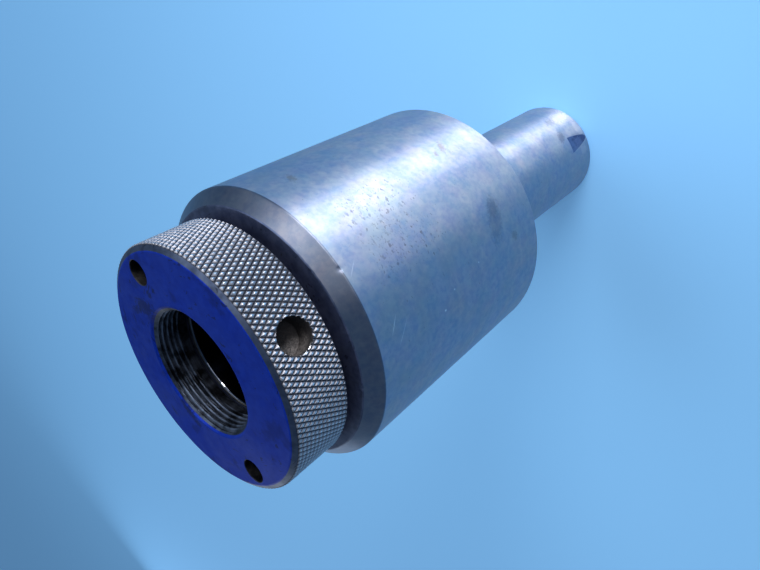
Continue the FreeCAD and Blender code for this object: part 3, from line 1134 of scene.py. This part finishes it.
@dataclass(frozen=True)
class KnurlSteel(Finish):
    """Knurled rim: the crossed grooves are darkened as grime and painted shade, and the points are lightened
    as wear and a painted highlight.
    """

    peak_radius: float
    depth: float
    groove_grime_and_shade: Colour = (0.050, 0.050, 0.060)
    flank: Colour = (0.33, 0.33, 0.37)
    # The points' colour is wear and a painted highlight
    point: Colour = (0.78, 0.79, 0.82)
    cloud_size: float = 3.0
    grain_size: float = 0.35
    flank_from: float = 0.05
    flank_to: float = 0.55
    point_from: float = 0.72
    point_short: float = 0.02
    gloss: tuple[float, float] = (0.55, 0.24)

    def lay(self, bench: Bench, shader: bpy.types.Node) -> None:
        """Lays the tones by how high a spot lies on its tooth.

        Args:
            bench: the material's bench.
            shader: its shader.
        """
        radius = bench.effect(lathe_place()).outputs["Radius"]
        peak, floor = self.peak_radius / MM, (self.peak_radius - self.depth) / MM
        tooth = peak - floor
        cloud = bench.mask(clouding(), Size=self.cloud_size)
        grain = bench.mask(clouding(), Size=self.grain_size)
        rise = bench.ease(radius, floor + self.flank_from, floor + self.flank_to * tooth)
        top = bench.ease(radius, floor + self.point_from * tooth, peak - self.point_short)
        # Grooves darkened as grime and painted shade; points lightened as wear and a painted highlight
        colour = bench.blend(rise, self.groove_grime_and_shade, self.flank)
        colour = bench.blend(bench.times(top, bench.span(cloud, 0.55, 1.0)), colour, self.point)
        bench.feed(shader.inputs["Base Color"], colour)
        rubbed = bench.times(top, bench.span(grain, 0.7, 1.0))
        bench.feed(shader.inputs["Roughness"], bench.span(rubbed, *self.gloss))
        shader.inputs["Metallic"].default_value = OILED_METAL
        bench.feed(shader.inputs["Normal"], relief(bench, grain, depth=0.02, strength=0.35))


@dataclass(frozen=True)
class BoredSteel(Finish):
    """Bore, thread or drilled hole, painted dark as the shade inside it, with its tool rings showing."""

    # These near-black colours are painted shade inside bores, threads and holes
    dark: Colour = (0.012, 0.013, 0.018)
    light: Colour = (0.085, 0.080, 0.075)
    gloss: tuple[float, float] = (0.34, 0.55)
    crest: float = 0.0
    crest_reach: float = 0.5 * MM
    cloud_size: float = 4.0

    def lay(self, bench: Bench, shader: bpy.types.Node) -> None:
        """Lays the oiled wall, and rubs a thread's crest bright where there is one.

        Args:
            bench: the material's bench.
            shader: its shader.
        """
        cloud = bench.mask(clouding(), Size=self.cloud_size)
        rings = bench.mask(turning_marks(), Spacing=0.3, Waver=1.2)
        colour = bench.blend(bench.times(cloud, rings), self.dark, self.light)
        if self.crest > 0.0:
            radius = bench.effect(lathe_place()).outputs["Radius"]
            near = bench.ease(radius, (self.crest + self.crest_reach) / MM, self.crest / MM)
            colour = bench.blend(bench.times(near, cloud), colour, self.light)
        bench.feed(shader.inputs["Base Color"], colour)
        bench.feed(shader.inputs["Roughness"], bench.span(cloud, *self.gloss))
        shader.inputs["Metallic"].default_value = OILED_METAL
        bench.feed(shader.inputs["Normal"], relief(bench, rings, depth=0.02, strength=0.5))


@dataclass(frozen=True)
class PolishedSteel(Finish):
    """Hard polished steel: the taper seat and the balls. The seat's colours are darkened as painted shade,
    and its marks paint a glint.
    """

    pale: Colour = (0.62, 0.63, 0.66)
    dim: Colour = (0.40, 0.41, 0.44)
    gloss: tuple[float, float] = (0.08, 0.16)
    drawn: float = 0.0
    # The colour of a painted glint
    glint: Colour = (0.90, 0.92, 0.95)
    marks: tuple[Mark, ...] = ()
    cloud_size: float = 5.0

    def lay(self, bench: Bench, shader: bpy.types.Node) -> None:
        """Lays the clouded polish and any painted glints.

        Args:
            bench: the material's bench.
            shader: its shader.
        """
        cloud = bench.mask(clouding(), Size=self.cloud_size)
        rings = bench.mask(turning_marks(), Spacing=0.12, Waver=2.0)
        colour = bench.blend(cloud, self.dim, self.pale)
        for mark in self.marks:
            colour = bench.blend(mark.share(bench), colour, self.glint)
        bench.feed(shader.inputs["Base Color"], colour)
        bench.feed(shader.inputs["Roughness"], bench.span(rings, *self.gloss))
        shader.inputs["Metallic"].default_value = 1.0
        bench.feed(shader.inputs["Normal"], relief(bench, rings, depth=0.002, strength=0.1))
        if self.drawn > 0.0:
            draw_round_axis(bench, shader, self.drawn)


@dataclass(frozen=True)
class DrilledSteel(Finish):
    """A drilled spanner hole: its wall painted dark as shade, its brown-grey end painted lit on one side as
    light falling in, and a rim worn bright.
    """

    mouth: float
    floor: float
    # The wall's near-black is painted shade inside the hole
    wall: Colour = (0.016, 0.014, 0.016)
    dust_in_painted_light: Colour = (0.20, 0.185, 0.185)
    worn: Colour = (0.85, 0.85, 0.87)
    chips: Mark = Mark(MarkKind.SCRATCH, 168.2, -8.2, 4.4, 2.6, radius=32.6)
    painted_lit_side: tuple[float, float] = (-0.6, -5.5)
    painted_lit_waver: float = 1.5
    painted_lit_from: float = 0.4
    rim_depths: tuple[float, float] = (0.9, 0.5)
    cloud_size: float = 2.6
    grain_size: float = 0.5

    def lay(self, bench: Bench, shader: bpy.types.Node) -> None:
        """Lays the wall's painted shade, the brown-grey end painted lit on one side, and the worn rim.

        Args:
            bench: the material's bench.
            shader: its shader.
        """
        place = bench.effect(lathe_place())
        radius, azimuth = place.outputs["Radius"], place.outputs["Azimuth"]
        cloud = bench.mask(clouding(), Size=self.cloud_size)
        grain = bench.mask(clouding(), Size=self.grain_size)
        mouth, floor = self.mouth / MM, self.floor / MM
        deep = bench.ease(radius, mouth - self.painted_lit_from, 0.5 * (mouth + floor))
        waver = bench.span(cloud, -self.painted_lit_waver, self.painted_lit_waver)
        # Painted light: only one side of the end and the wall is lit, as if light fell in from there
        side = bench.ease(bench.plus(azimuth, waver), *self.painted_lit_side)
        patchy = bench.times(bench.span(cloud, 0.45, 1.0), bench.span(grain, 0.35, 1.0))
        painted_lit_dust = bench.times(bench.times(deep, side), patchy)
        colour = bench.blend(painted_lit_dust, self.wall, self.dust_in_painted_light)
        outer, inner = self.rim_depths
        rim = bench.times(bench.ease(radius, mouth - outer, mouth - inner), self.chips.share(bench))
        bench.feed(shader.inputs["Base Color"], bench.blend(rim, colour, self.worn))
        bench.feed(shader.inputs["Roughness"], bench.span(rim, 0.7, 0.25))
        bench.feed(shader.inputs["Metallic"], bench.span(rim, 0.35, 1.0))
        bench.feed(shader.inputs["Normal"], relief(bench, grain, depth=0.12, strength=0.6))


def seen(bench: Bench) -> bpy.types.NodeSocket:
    """Whether a ray is the camera's, or shows the scene in metal or glass.

    Args:
        bench: the bench of the floor's material or of the world.

    Returns:
        A socket of 1 for such rays and 0 for the others.
    """
    rays = bench.node("ShaderNodeLightPath").outputs
    shown = bench.maths("MAXIMUM", rays["Is Glossy Ray"], rays["Is Transmission Ray"])
    return bench.maths("MAXIMUM", rays["Is Camera Ray"], shown)


@dataclass(frozen=True)
class PaleFloor(Finish):
    """Matt floor whose paleness is lifted a little where it is seen, and not where it lights the part."""

    colour: Colour = (0.27, 0.60, 0.98)
    glow: float = 0.22

    def lay(self, bench: Bench, shader: bpy.types.Node) -> None:
        """Lays one even colour.

        Args:
            bench: the material's bench.
            shader: its shader.
        """
        bench.feed(shader.inputs["Base Color"], self.colour)
        bench.feed(shader.inputs["Emission Color"], self.colour)
        bench.feed(shader.inputs["Emission Strength"], bench.times(seen(bench), self.glow))
        shader.inputs["Roughness"].default_value = 0.9
        shader.inputs["Specular IOR Level"].default_value = 0.1


@dataclass
class Assembly:
    """What the parts of the chuck share.

    That is the body that carries them, the record's finish, the race and how blunt a plain hole's end is.
    """

    rides_on: str = "chuck"
    finish: str = "ground_steel"
    race: BallRace = BallRace()
    plain_end: float = 0.01 * MM

    def seat(self, piece: bpy.types.Object, *nodes: str) -> bpy.types.Object:
        """Hands a made piece to the frame.

        Args:
            piece: the dressed object.
            nodes: the solids whose place it takes.

        Returns:
            The same object.
        """
        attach(piece, self.rides_on)
        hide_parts(*nodes)
        return piece


@dataclass
class ChuckBody(Assembly):
    """The bar: shank, main cylinder, neck with its ball groove, taper seat and bores.

    A nick is an azimuth, a depth and how steeply the knock came from in front.
    """

    shank_radius: float = mount_size("shank", "r_mm")
    shank_length: float = 82.0 * MM
    shank_edge: float = 0.6 * MM
    body_radius: float = float(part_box("chuck_body")[1].x)
    front: float = 157.4 * MM
    bevel: float = 3.65 * MM
    rear_edge: float = 0.4 * MM
    wall_step: float = 0.5 * MM
    wall_steps: int = 4
    bevel_steps: int = 6
    neck_radius: float = 23.5 * MM
    neck_top: float = float(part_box("chuck_body")[1].z)
    neck_edge: float = 0.4 * MM
    seat_mouth: float = 15.9 * MM
    seat_edge: float = 0.5 * MM
    seat_end: float = 140.173 * MM
    collet_radius: float = mount_size("collet_bore", "r_mm")
    bore_floor: float = 104.5 * MM
    through_radius: float = mount_size("through_bore", "r_mm")
    through_top: float = 101.08 * MM
    centre_radius: float = 8.2 * MM
    centre_depth: float = 2.94 * MM
    columns: int = 480
    end_break: float = 0.2 * MM
    edge_break: float = 0.3 * MM
    rear_break: float = 0.25 * MM
    neck_break: float = 0.15 * MM
    bore_break: float = 0.4 * MM
    flat_width: float = 6.3 * MM
    flat_wall: float = 14.0 * MM
    flat_run_out: float = 1.0 * MM
    key_height: float = 148.0 * MM
    key_radius: float = 3.0 * MM
    nick_width: float = 0.9 * MM
    outer_nick: tuple[float, float, float] = (math.radians(11.0), 0.28 * MM, 0.6)
    inner_nick: tuple[float, float, float] = (math.radians(-33.0), 0.3 * MM, 1.0)

    def outline(self) -> list[tuple[float, float, Skin]]:
        """The turned outline, up the outside and down the bore.

        Returns:
            Radius, height and following finish of each point.
        """
        before = [
            Corner(self.centre_radius, 0.0, Skin.GROUND, self.end_break),
            Corner(self.shank_radius - self.shank_edge, 0.0, Skin.GROUND, self.end_break),
            Corner(self.shank_radius, self.shank_edge, Skin.GROUND, self.edge_break),
            Corner(self.shank_radius, self.shank_length, Skin.GROUND),
            Corner(self.body_radius - self.rear_edge, self.shank_length, Skin.GROUND, self.rear_break),
            Corner(self.body_radius, self.shank_length + self.rear_edge, Skin.GROUND, self.rear_break),
            *(Corner(self.body_radius, self.front - self.bevel - step * self.wall_step, Skin.GROUND)
              for step in range(self.wall_steps, 0, -1)),
            Corner(self.body_radius, self.front - self.bevel, Skin.CHAMFER, self.edge_break),
            *(Corner(self.body_radius - share * self.bevel, self.front - (1 - share) * self.bevel,
                     Skin.CHAMFER)
              for share in np.linspace(0.0, 1.0, self.bevel_steps + 2)[1:-1]),
            Corner(self.body_radius - self.bevel, self.front, Skin.FRONT, self.edge_break),
            *(Corner(self.body_radius - self.bevel - step * self.wall_step, self.front, Skin.FRONT)
              for step in range(1, self.wall_steps + 1)),
            Corner(self.neck_radius, self.front, Skin.FRONT),
        ]
        groove = [
            Corner(radius, height, Skin.BORED)
            for radius, height in reversed(self.race.groove(self.neck_radius, outside=False))
        ]
        after = [
            Corner(self.neck_radius, self.neck_top - self.neck_edge, Skin.FRONT, self.neck_break),
            Corner(self.neck_radius - self.neck_edge, self.neck_top, Skin.FRONT, self.neck_break),
            Corner(self.seat_mouth + self.seat_edge, self.neck_top, Skin.BORED, self.end_break),
            Corner(self.seat_mouth, self.neck_top - self.seat_edge, Skin.SEAT, self.edge_break),
            Corner(self.collet_radius, self.seat_end, Skin.BORED, self.bore_break),
            Corner(self.collet_radius, self.bore_floor, Skin.BORED, self.edge_break),
            Corner(self.through_radius, self.through_top, Skin.BORED, self.edge_break),
            Corner(self.through_radius, self.centre_depth, Skin.BORED, self.edge_break),
        ]
        return rounded_outline(before + groove + after)

    def nick(self, skin: TurnedSkin) -> None:
        """Knocks a small nick into each edge of the bevel.

        Args:
            skin: the bar's skin, laid but not yet made into a mesh.
        """
        for (azimuth, depth, down), radius, height in (
                (self.outer_nick, self.body_radius, self.front - self.bevel),
                (self.inner_nick, self.body_radius - self.bevel, self.front)):
            outwards = heading(azimuth)
            skin.dent(outwards * radius + Vector((0, 0, height)), self.nick_width, depth,
                      -outwards - Vector((0, 0, down)))

    def flat_section(self) -> list[tuple[float, float]]:
        """The section of what is milled off for the flat: deepest at its wall, sloping up to nothing.

        Returns:
            Distance along X and height of each corner.
        """
        wall_x = math.sqrt(self.shank_radius**2 - (self.flat_width / 2) ** 2)
        slope = (self.shank_radius - wall_x) / (self.flat_wall - self.flat_run_out)
        outside = self.shank_radius + self.flat_width
        below = self.flat_run_out + self.flat_width
        return [(wall_x, self.flat_wall), (self.shank_radius + slope * below, self.flat_run_out - below),
                (outside, self.flat_run_out - below), (outside, self.flat_wall)]

    def build(self) -> list[bpy.types.Object]:
        """Makes and dresses the bar.

        Returns:
            The one piece that takes the bar's place.
        """
        skins = [Skin.GROUND, Skin.FLAT, Skin.CHAMFER, Skin.FRONT, Skin.SEAT, Skin.BORED]
        skin = TurnedSkin("turned_bar")
        skin.lay_outline(self.outline(), self.columns)
        self.nick(skin)
        piece = skin.build(skins)
        flat = prism_cutter(self.flat_section(), self.flat_width, skins.index(Skin.FLAT))
        key_hole = Drill(Vector((-self.collet_radius, 0.0, self.key_height)), Vector((-1.0, 0.0, 0.0)),
                         self.key_radius, self.body_radius, self.plain_end)
        cut_away(piece, [flat, key_hole.cutter(skins.index(Skin.BORED))])
        outline_slot(piece, skins.index(Skin.FLAT))
        for made in (GroundSteel("ground_steel"),
                     # Painted shade and painted blue reflection on the shank's flat
                     BluedSteelAndPaintedShade("clamping_flat", deep=(0.090, 0.135, 0.260), rubbed=(0.190, 0.240, 0.380),
                                gloss=(0.50, 0.65), drawn=0.0),
                     # A darker copy of the ground steel: painted shade on the chamfer
                     GroundSteel("painted_shade_chamfer", cool_with_painted_blue=(0.11, 0.14, 0.22), warm=(0.22, 0.23, 0.27),
                                 rosy=(0.18, 0.155, 0.20), teal=(0.10, 0.145, 0.21), gloss=(0.34, 0.44),
                                 drawn=0.7, marks=()),
                     # Painted shade: the front face and neck made nearly black where the ring shadows them
                     BluedSteelAndPaintedShade("painted_shade_front", deep=(0.035, 0.050, 0.105), rubbed=(0.130, 0.155, 0.250),
                                smear=(0.02, 0.025, 0.05), gloss=(0.32, 0.44), metal=0.7),
                     # The seat painted nearly black as the shade inside the bore, with one painted glint
                     PolishedSteel("polished_seat_painted_shade", pale=(0.08, 0.09, 0.12), dim=(0.03, 0.035, 0.05),
                                   gloss=(0.09, 0.14), drawn=0.6, marks=SEAT_PAINTED_GLINT),
                     BoredSteel("bored_wall")):
            piece.data.materials.append(made.material())
        finish_shading(piece)
        return [self.seat(piece, "chuck_body")]


@dataclass
class NoseRing(Assembly):
    """The turning ring: knurled rim, bevelled face, threaded bore, spanner holes and skirt."""

    rides_on: str = "ring"
    finish: str = "blued_steel"
    radius: float = float(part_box("nose_ring")[1].x)
    rear: float = float(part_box("nose_ring")[0].z)
    nose: float = float(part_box("nose_ring")[1].z)
    bevel_width: float = 1.85 * MM
    bevel_length: float = 1.1 * MM
    rear_edge: float = 0.4 * MM
    teeth: int = 141
    knurl_depth: float = 0.45 * MM
    helix: float = math.radians(30.6)
    fineness: int = 4
    flank: tuple[float, ...] = (0.0, 0.30, 0.60, 0.90, 1.0)
    wear_seed: int = 7
    wear_spread: float = 0.035
    mouth_radius: float = 17.6 * MM
    mouth_length: float = 1.4 * MM
    thread_radius: float = mount_size("collet_thread", "r_mm")
    thread_root: float = 16.8 * MM
    thread_pitch: float = 1.411 * MM
    thread_rows: int = 12
    thread_start_share: float = 0.35
    thread_turn: tuple[float, ...] = (0.0, 0.10, 0.42, 0.58, 0.90, 1.0)
    thread_depth: tuple[float, ...] = (0.0, 0.0, 1.0, 1.0, 0.0, 0.0)
    relief_radius: float = 16.9 * MM
    relief_top: float = 169.0 * MM
    shoulder: float = 167.0 * MM
    skirt_radius: float = 23.6 * MM
    skirt_edge: float = 0.3 * MM
    rear_margin: float = 1.0 * MM
    edge_break: float = 0.3 * MM
    face_circle: float = mount_size("face_spanner_holes", "pcd_mm") / 2
    face_radius: float = mount_size("face_spanner_holes", "hole_r_mm")
    face_depth: float = 7.0 * MM
    face_flare: float = 0.65 * MM
    face_flare_depth: float = 0.15 * MM
    face_overcut: float = 0.5 * MM
    rim_radius: float = mount_size("rim_spanner_hole_front", "r_mm")
    rim_drop: float = 8.2 * MM
    rim_depth: float = 5.6 * MM
    rim_flare: float = 0.9 * MM
    rim_flare_depth: float = 0.6 * MM
    rim_overcut: float = 1.0 * MM
    rim_chip: float = 1.5 * MM
    chipped_to: tuple[float, float, float] = (0.0, -1.0, -0.1)
    drill_slope: float = math.tan(math.radians(59.0))
    plug_radius: float = 2.5 * MM
    plug_azimuth: float = math.radians(225.0)

    @property
    def face_edge(self) -> float:
        """The radius where the nose face meets the bevel."""
        return self.radius - self.bevel_width

    def lay_knurl(self, skin: TurnedSkin) -> None:
        """Lays the rim: crossed spiral grooves, cut off by the bevel in front and the edge behind.

        Args:
            skin: the ring's skin, which starts here.
        """
        around = 2 * self.teeth * self.fineness
        half_tooth = math.pi * self.radius / self.teeth
        row_step = half_tooth / math.tan(self.helix) / self.fineness
        slope = self.bevel_width / self.bevel_length
        stop = self.nose - (self.bevel_width - self.knurl_depth) / slope
        rows = int((stop - self.rear) / row_step)
        across = np.arange(around) / self.fineness
        wear = np.random.default_rng(self.wear_seed).normal(1.0, self.wear_spread, (2 * self.teeth,) * 2)
        tooth_rise = np.linspace(0.0, 1.0, len(self.flank))
        heights = [self.rear + row * row_step for row in range(rows + 1)] + [stop]
        for height in heights:
            along = (height - self.rear) / row_step / self.fineness + 1.0
            first, second = across - along, across + along
            tooth = np.interp(np.minimum(zigzag(first), zigzag(second)), tooth_rise, self.flank)
            tooth = tooth * wear[np.floor(first / 2).astype(int) % self.teeth,
                                 np.floor(second / 2).astype(int) % self.teeth]
            reach = self.radius - self.knurl_depth * (1.0 - np.clip(tooth, 0.0, 1.0))
            reach = np.minimum(reach, self.face_edge + (self.nose - height) * slope)
            reach = np.minimum(reach, self.radius - self.rear_edge + (height - self.rear))
            # Each patch folds along whichever groove passes nearer to its middle
            middle = across + 0.5 / self.fineness
            level = along + 0.5 / self.fineness
            skin.lay(reach, height, around, Skin.KNURL, zigzag(middle - level) < zigzag(middle + level))
        # The last row is the first of the smooth bevel
        skin.loops[-1].folds = None
        skin.loops[-1].skin = Skin.BEVEL

    def lay_thread(self, skin: TurnedSkin, columns: int) -> None:
        """Lays the bore's right-handed thread, from the mouth's cone down to the relief.

        Args:
            skin: the ring's skin, laid as far as the mouth.
            columns: how many points go round.
        """
        turn = np.arange(columns) / columns
        start = self.nose - self.thread_start_share * self.mouth_length
        count = int((start - self.relief_top) / self.thread_pitch * self.thread_rows)
        cone = (self.mouth_radius - self.thread_radius) / self.mouth_length
        for row in range(count + 1):
            height = start - row * self.thread_pitch / self.thread_rows
            phase = (height / self.thread_pitch - turn) % 1.0
            depth = np.interp(phase, self.thread_turn, self.thread_depth)
            reach = self.thread_radius + (self.thread_root - self.thread_radius) * depth
            reach = np.maximum(reach, self.thread_radius + (height - self.nose + self.mouth_length) * cone)
            skin.lay(reach, height, columns, Skin.THREAD)

    def holes(self, slot: int, worn_slot: int) -> list[bpy.types.Object]:
        """The cutters for the spanner holes and the loading hole.

        Args:
            slot: the material slot of the face holes and the loading hole.
            worn_slot: the material slot of the rim holes.

        Returns:
            The cutters, ready to be taken away.
        """
        drills = []
        for side in (1.0, -1.0):
            place = Vector((0.0, side * self.face_circle, self.nose - self.face_depth))
            face = Drill(place, Vector((0, 0, 1)), self.face_radius, self.face_depth + self.face_overcut,
                         self.face_radius / self.drill_slope, self.face_flare,
                         self.face_depth - self.face_flare_depth)
            place = Vector((side * (self.radius - self.rim_depth), 0.0, self.nose - self.rim_drop))
            rim = Drill(place, Vector((side, 0, 0)), self.rim_radius, self.rim_depth + self.rim_overcut,
                        self.rim_radius / self.drill_slope, self.rim_flare,
                        self.rim_depth - self.rim_flare_depth, Vector(self.chipped_to), self.rim_chip)
            drills += [(face, slot), (rim, worn_slot)]
        outwards = heading(self.plug_azimuth)
        place = outwards * self.race.pitch + Vector((0, 0, self.race.level))
        drills.append((Drill(place, outwards, self.plug_radius, self.radius, self.plain_end), slot))
        return [drill.cutter(its_slot) for drill, its_slot in drills]

    def build(self) -> list[bpy.types.Object]:
        """Makes and dresses the ring.

        Returns:
            The one piece that takes the ring's place.
        """
        skins = [Skin.RING, Skin.BEVEL, Skin.KNURL, Skin.THREAD, Skin.BORED, Skin.DRILLED]
        columns = 2 * self.teeth
        skin = TurnedSkin("knurled_ring")
        self.lay_knurl(skin)
        face = rounded_outline([
            Corner(self.face_edge + 0.5 * self.bevel_width, self.nose - 0.5 * self.bevel_length, Skin.BEVEL),
            Corner(self.face_edge, self.nose, Skin.RING, self.edge_break),
            Corner(self.mouth_radius, self.nose, Skin.RING, self.edge_break),
            Corner(self.thread_radius, self.nose - self.mouth_length, Skin.THREAD),
        ])
        skin.lay_outline(face[:-1], columns)
        self.lay_thread(skin, columns)
        skin.lay(self.relief_radius, self.relief_top, columns, Skin.THREAD)
        skin.lay(self.relief_radius, self.shoulder, columns, Skin.BORED)
        skin.lay(self.skirt_radius, self.shoulder, columns, Skin.BORED)
        groove = self.race.groove(self.skirt_radius, outside=True)
        skin.lay_outline([(radius, height, Skin.BORED) for radius, height in groove], columns)
        skin.lay(self.skirt_radius, self.rear + self.skirt_edge, columns, Skin.RING)
        skin.lay(self.skirt_radius + self.skirt_edge, self.rear, columns, Skin.RING)
        skin.lay(self.radius - self.rear_margin, self.rear, columns, Skin.RING)
        piece = skin.build(skins)
        cut_away(piece, self.holes(skins.index(Skin.BORED), skins.index(Skin.DRILLED)))
        # The face's blue is real blueing, deepened in part as a painted blue reflection
        for made in (BluedSteelAndPaintedShade("blued_ring_painted_reflection", deep=(0.002, 0.018, 0.245), rubbed=(0.008, 0.038, 0.370),
                                metal=0.35, sheen=0.10, marks=FACE_MARKS),
                     BluedSteelAndPaintedShade("ring_bevel", deep=(0.045, 0.060, 0.105), rubbed=(0.13, 0.15, 0.21),
                                smear=(0.02, 0.024, 0.04)),
                     KnurlSteel("knurled_steel", self.radius, self.knurl_depth),
                     # Painted shade in the thread, whose bluish light tone is a painted blue reflection
                     BoredSteel("cut_thread", light=(0.14, 0.17, 0.24), crest=self.thread_radius),
                     BoredSteel("ring_inside"),
                     DrilledSteel("drilled_hole", self.radius, self.radius - self.rim_depth)):
            piece.data.materials.append(made.material())
        finish_shading(piece)
        return [self.seat(piece, "nose_ring")]


@dataclass
class CarriedNodes:
    """The solids that keep their own shape and only take a finish."""

    balls: str = "bearing_ball_"
    screws: tuple[str, ...] = ("ball_plug", "key_screw")

    def build(self) -> list[bpy.types.Object]:
        """Dresses the balls and the two screws.

        Returns:
            The dressed solids.
        """
        bright = PolishedSteel("bearing_steel").material()
        black = BluedSteelAndPaintedShade("black_screw", deep=(0.02, 0.02, 0.024), rubbed=(0.09, 0.09, 0.10)).material()
        dressed = []
        for name, node in frame["nodes"].items():
            if name.startswith(self.balls) or name in self.screws:
                node.data.materials.clear()
                node.data.materials.append(bright if name.startswith(self.balls) else black)
                dressed.append(node)
        return dressed


@dataclass
class ViewPoint:
    """The camera, at the photograph's angle: its place, its view's turn and its roll."""

    place: Vector = field(default_factory=lambda: Vector((139.635, 17.304, 233.545)) * MM)
    azimuth: float = math.radians(-170.242)
    elevation: float = math.radians(-40.131)
    roll: float = math.radians(124.077)
    lens: float = 29.388
    sensor: float = 36.0
    nearest: float = 5.0 * MM
    farthest: float = 100.0

    def build(self) -> None:
        """Makes the camera and hands it to the scene."""
        ahead = heading(self.azimuth, self.elevation)
        level = ahead.to_track_quat("-Z", "Y")
        data = bpy.data.cameras.new("view")
        data.lens = self.lens
        data.sensor_width = self.sensor
        data.clip_start = self.nearest
        data.clip_end = self.farthest
        camera = linked(data)
        camera.rotation_mode = "QUATERNION"
        camera.rotation_quaternion = Quaternion(ahead, self.roll) @ level
        camera.location = self.place
        bpy.context.scene.camera = camera


@dataclass
class Lamp:
    """A soft rectangular lamp, aimed at a point.

    Its azimuth and elevation are in degrees as seen from that point, its distance and sides in metres,
    its power in watts and its spread in radians.
    """

    name: str
    azimuth: float
    elevation: float
    distance: float
    width: float
    depth: float
    power: float
    colour: Colour = (1.0, 1.0, 1.0)
    spread: float = math.radians(180.0)

    def build(self, aim: Vector) -> None:
        """Hangs the lamp and turns it to a point.

        Args:
            aim: the point.
        """
        way = heading(math.radians(self.azimuth), math.radians(self.elevation))
        data = bpy.data.lights.new(self.name, "AREA")
        data.shape = "RECTANGLE"
        data.size, data.size_y = self.width, self.depth
        data.energy = self.power
        data.color = self.colour
        data.spread = self.spread
        lamp = linked(data)
        lamp.location = aim + way * self.distance
        lamp.rotation_mode = "QUATERNION"
        lamp.rotation_quaternion = (-way).to_track_quat("-Z", "Y")


@dataclass
class Studio:
    """Pale floor, soft lamps and an even sky."""

    floor_half: float = 12.0
    sky: Colour = (0.44, 0.69, 1.0)
    sky_strength: float = 0.18
    sky_seen: float = 0.34
    lamps: tuple[Lamp, ...] = (
        Lamp("key", azimuth=49.5, elevation=14.0, distance=0.6, width=0.31, depth=0.46, power=0.82,
             colour=(1.0, 0.97, 0.94), spread=math.radians(75.0)),
        Lamp("fill", azimuth=18.5, elevation=20.0, distance=0.9, width=0.54, depth=0.6, power=0.76,
             colour=(1.0, 0.98, 0.96), spread=math.radians(90.0)),
        Lamp("overhead", azimuth=100.0, elevation=58.0, distance=1.3, width=0.8, depth=0.8, power=6.0,
             colour=(0.86, 0.94, 1.0)),
        Lamp("back", azimuth=214.0, elevation=9.0, distance=1.1, width=0.6, depth=0.4, power=0.9,
             colour=(0.90, 0.95, 1.0)),
    )

    def floor(self) -> None:
        """The plane that the shank's end stands on."""
        reach = self.floor_half
        mesh = bpy.data.meshes.new("floor")
        mesh.from_pydata([(-reach, -reach, 0), (reach, -reach, 0), (reach, reach, 0), (-reach, reach, 0)],
                         [], [(0, 1, 2, 3)])
        mesh.materials.append(PaleFloor("pale_floor").material())
        linked(mesh)

    def sky_light(self) -> None:
        """An even sky that lights the part and shows above the floor."""
        world = bpy.data.worlds.new("sky")
        world.use_nodes = True
        bench = Bench(world.node_tree)
        background = world.node_tree.nodes["Background"]
        bench.feed(background.inputs["Color"], self.sky)
        bench.feed(background.inputs["Strength"], bench.span(seen(bench), self.sky_strength, self.sky_seen))
        bpy.context.scene.world = world

    def build(self, aim: Vector) -> None:
        """Sets the floor, the sky and the lamps.

        Args:
            aim: the point that the lamps are turned to.
        """
        self.floor()
        self.sky_light()
        for lamp in self.lamps:
            lamp.build(aim)
        bpy.context.scene.view_settings.view_transform = "Standard"


def main() -> None:
    """Builds the part's looks in order, then the studio round it."""
    logging.basicConfig(level=logging.INFO, format="%(name)s: %(message)s")
    for assembly in (ChuckBody(), NoseRing(), CarriedNodes()):
        for piece in assembly.build():
            LOG.info("%s: %d faces", piece.name, len(piece.data.polygons))
    low, high = CAD_BOX
    Studio().build((low + high) / 2)
    ViewPoint().build()


if __name__ == "__main__":
    main()
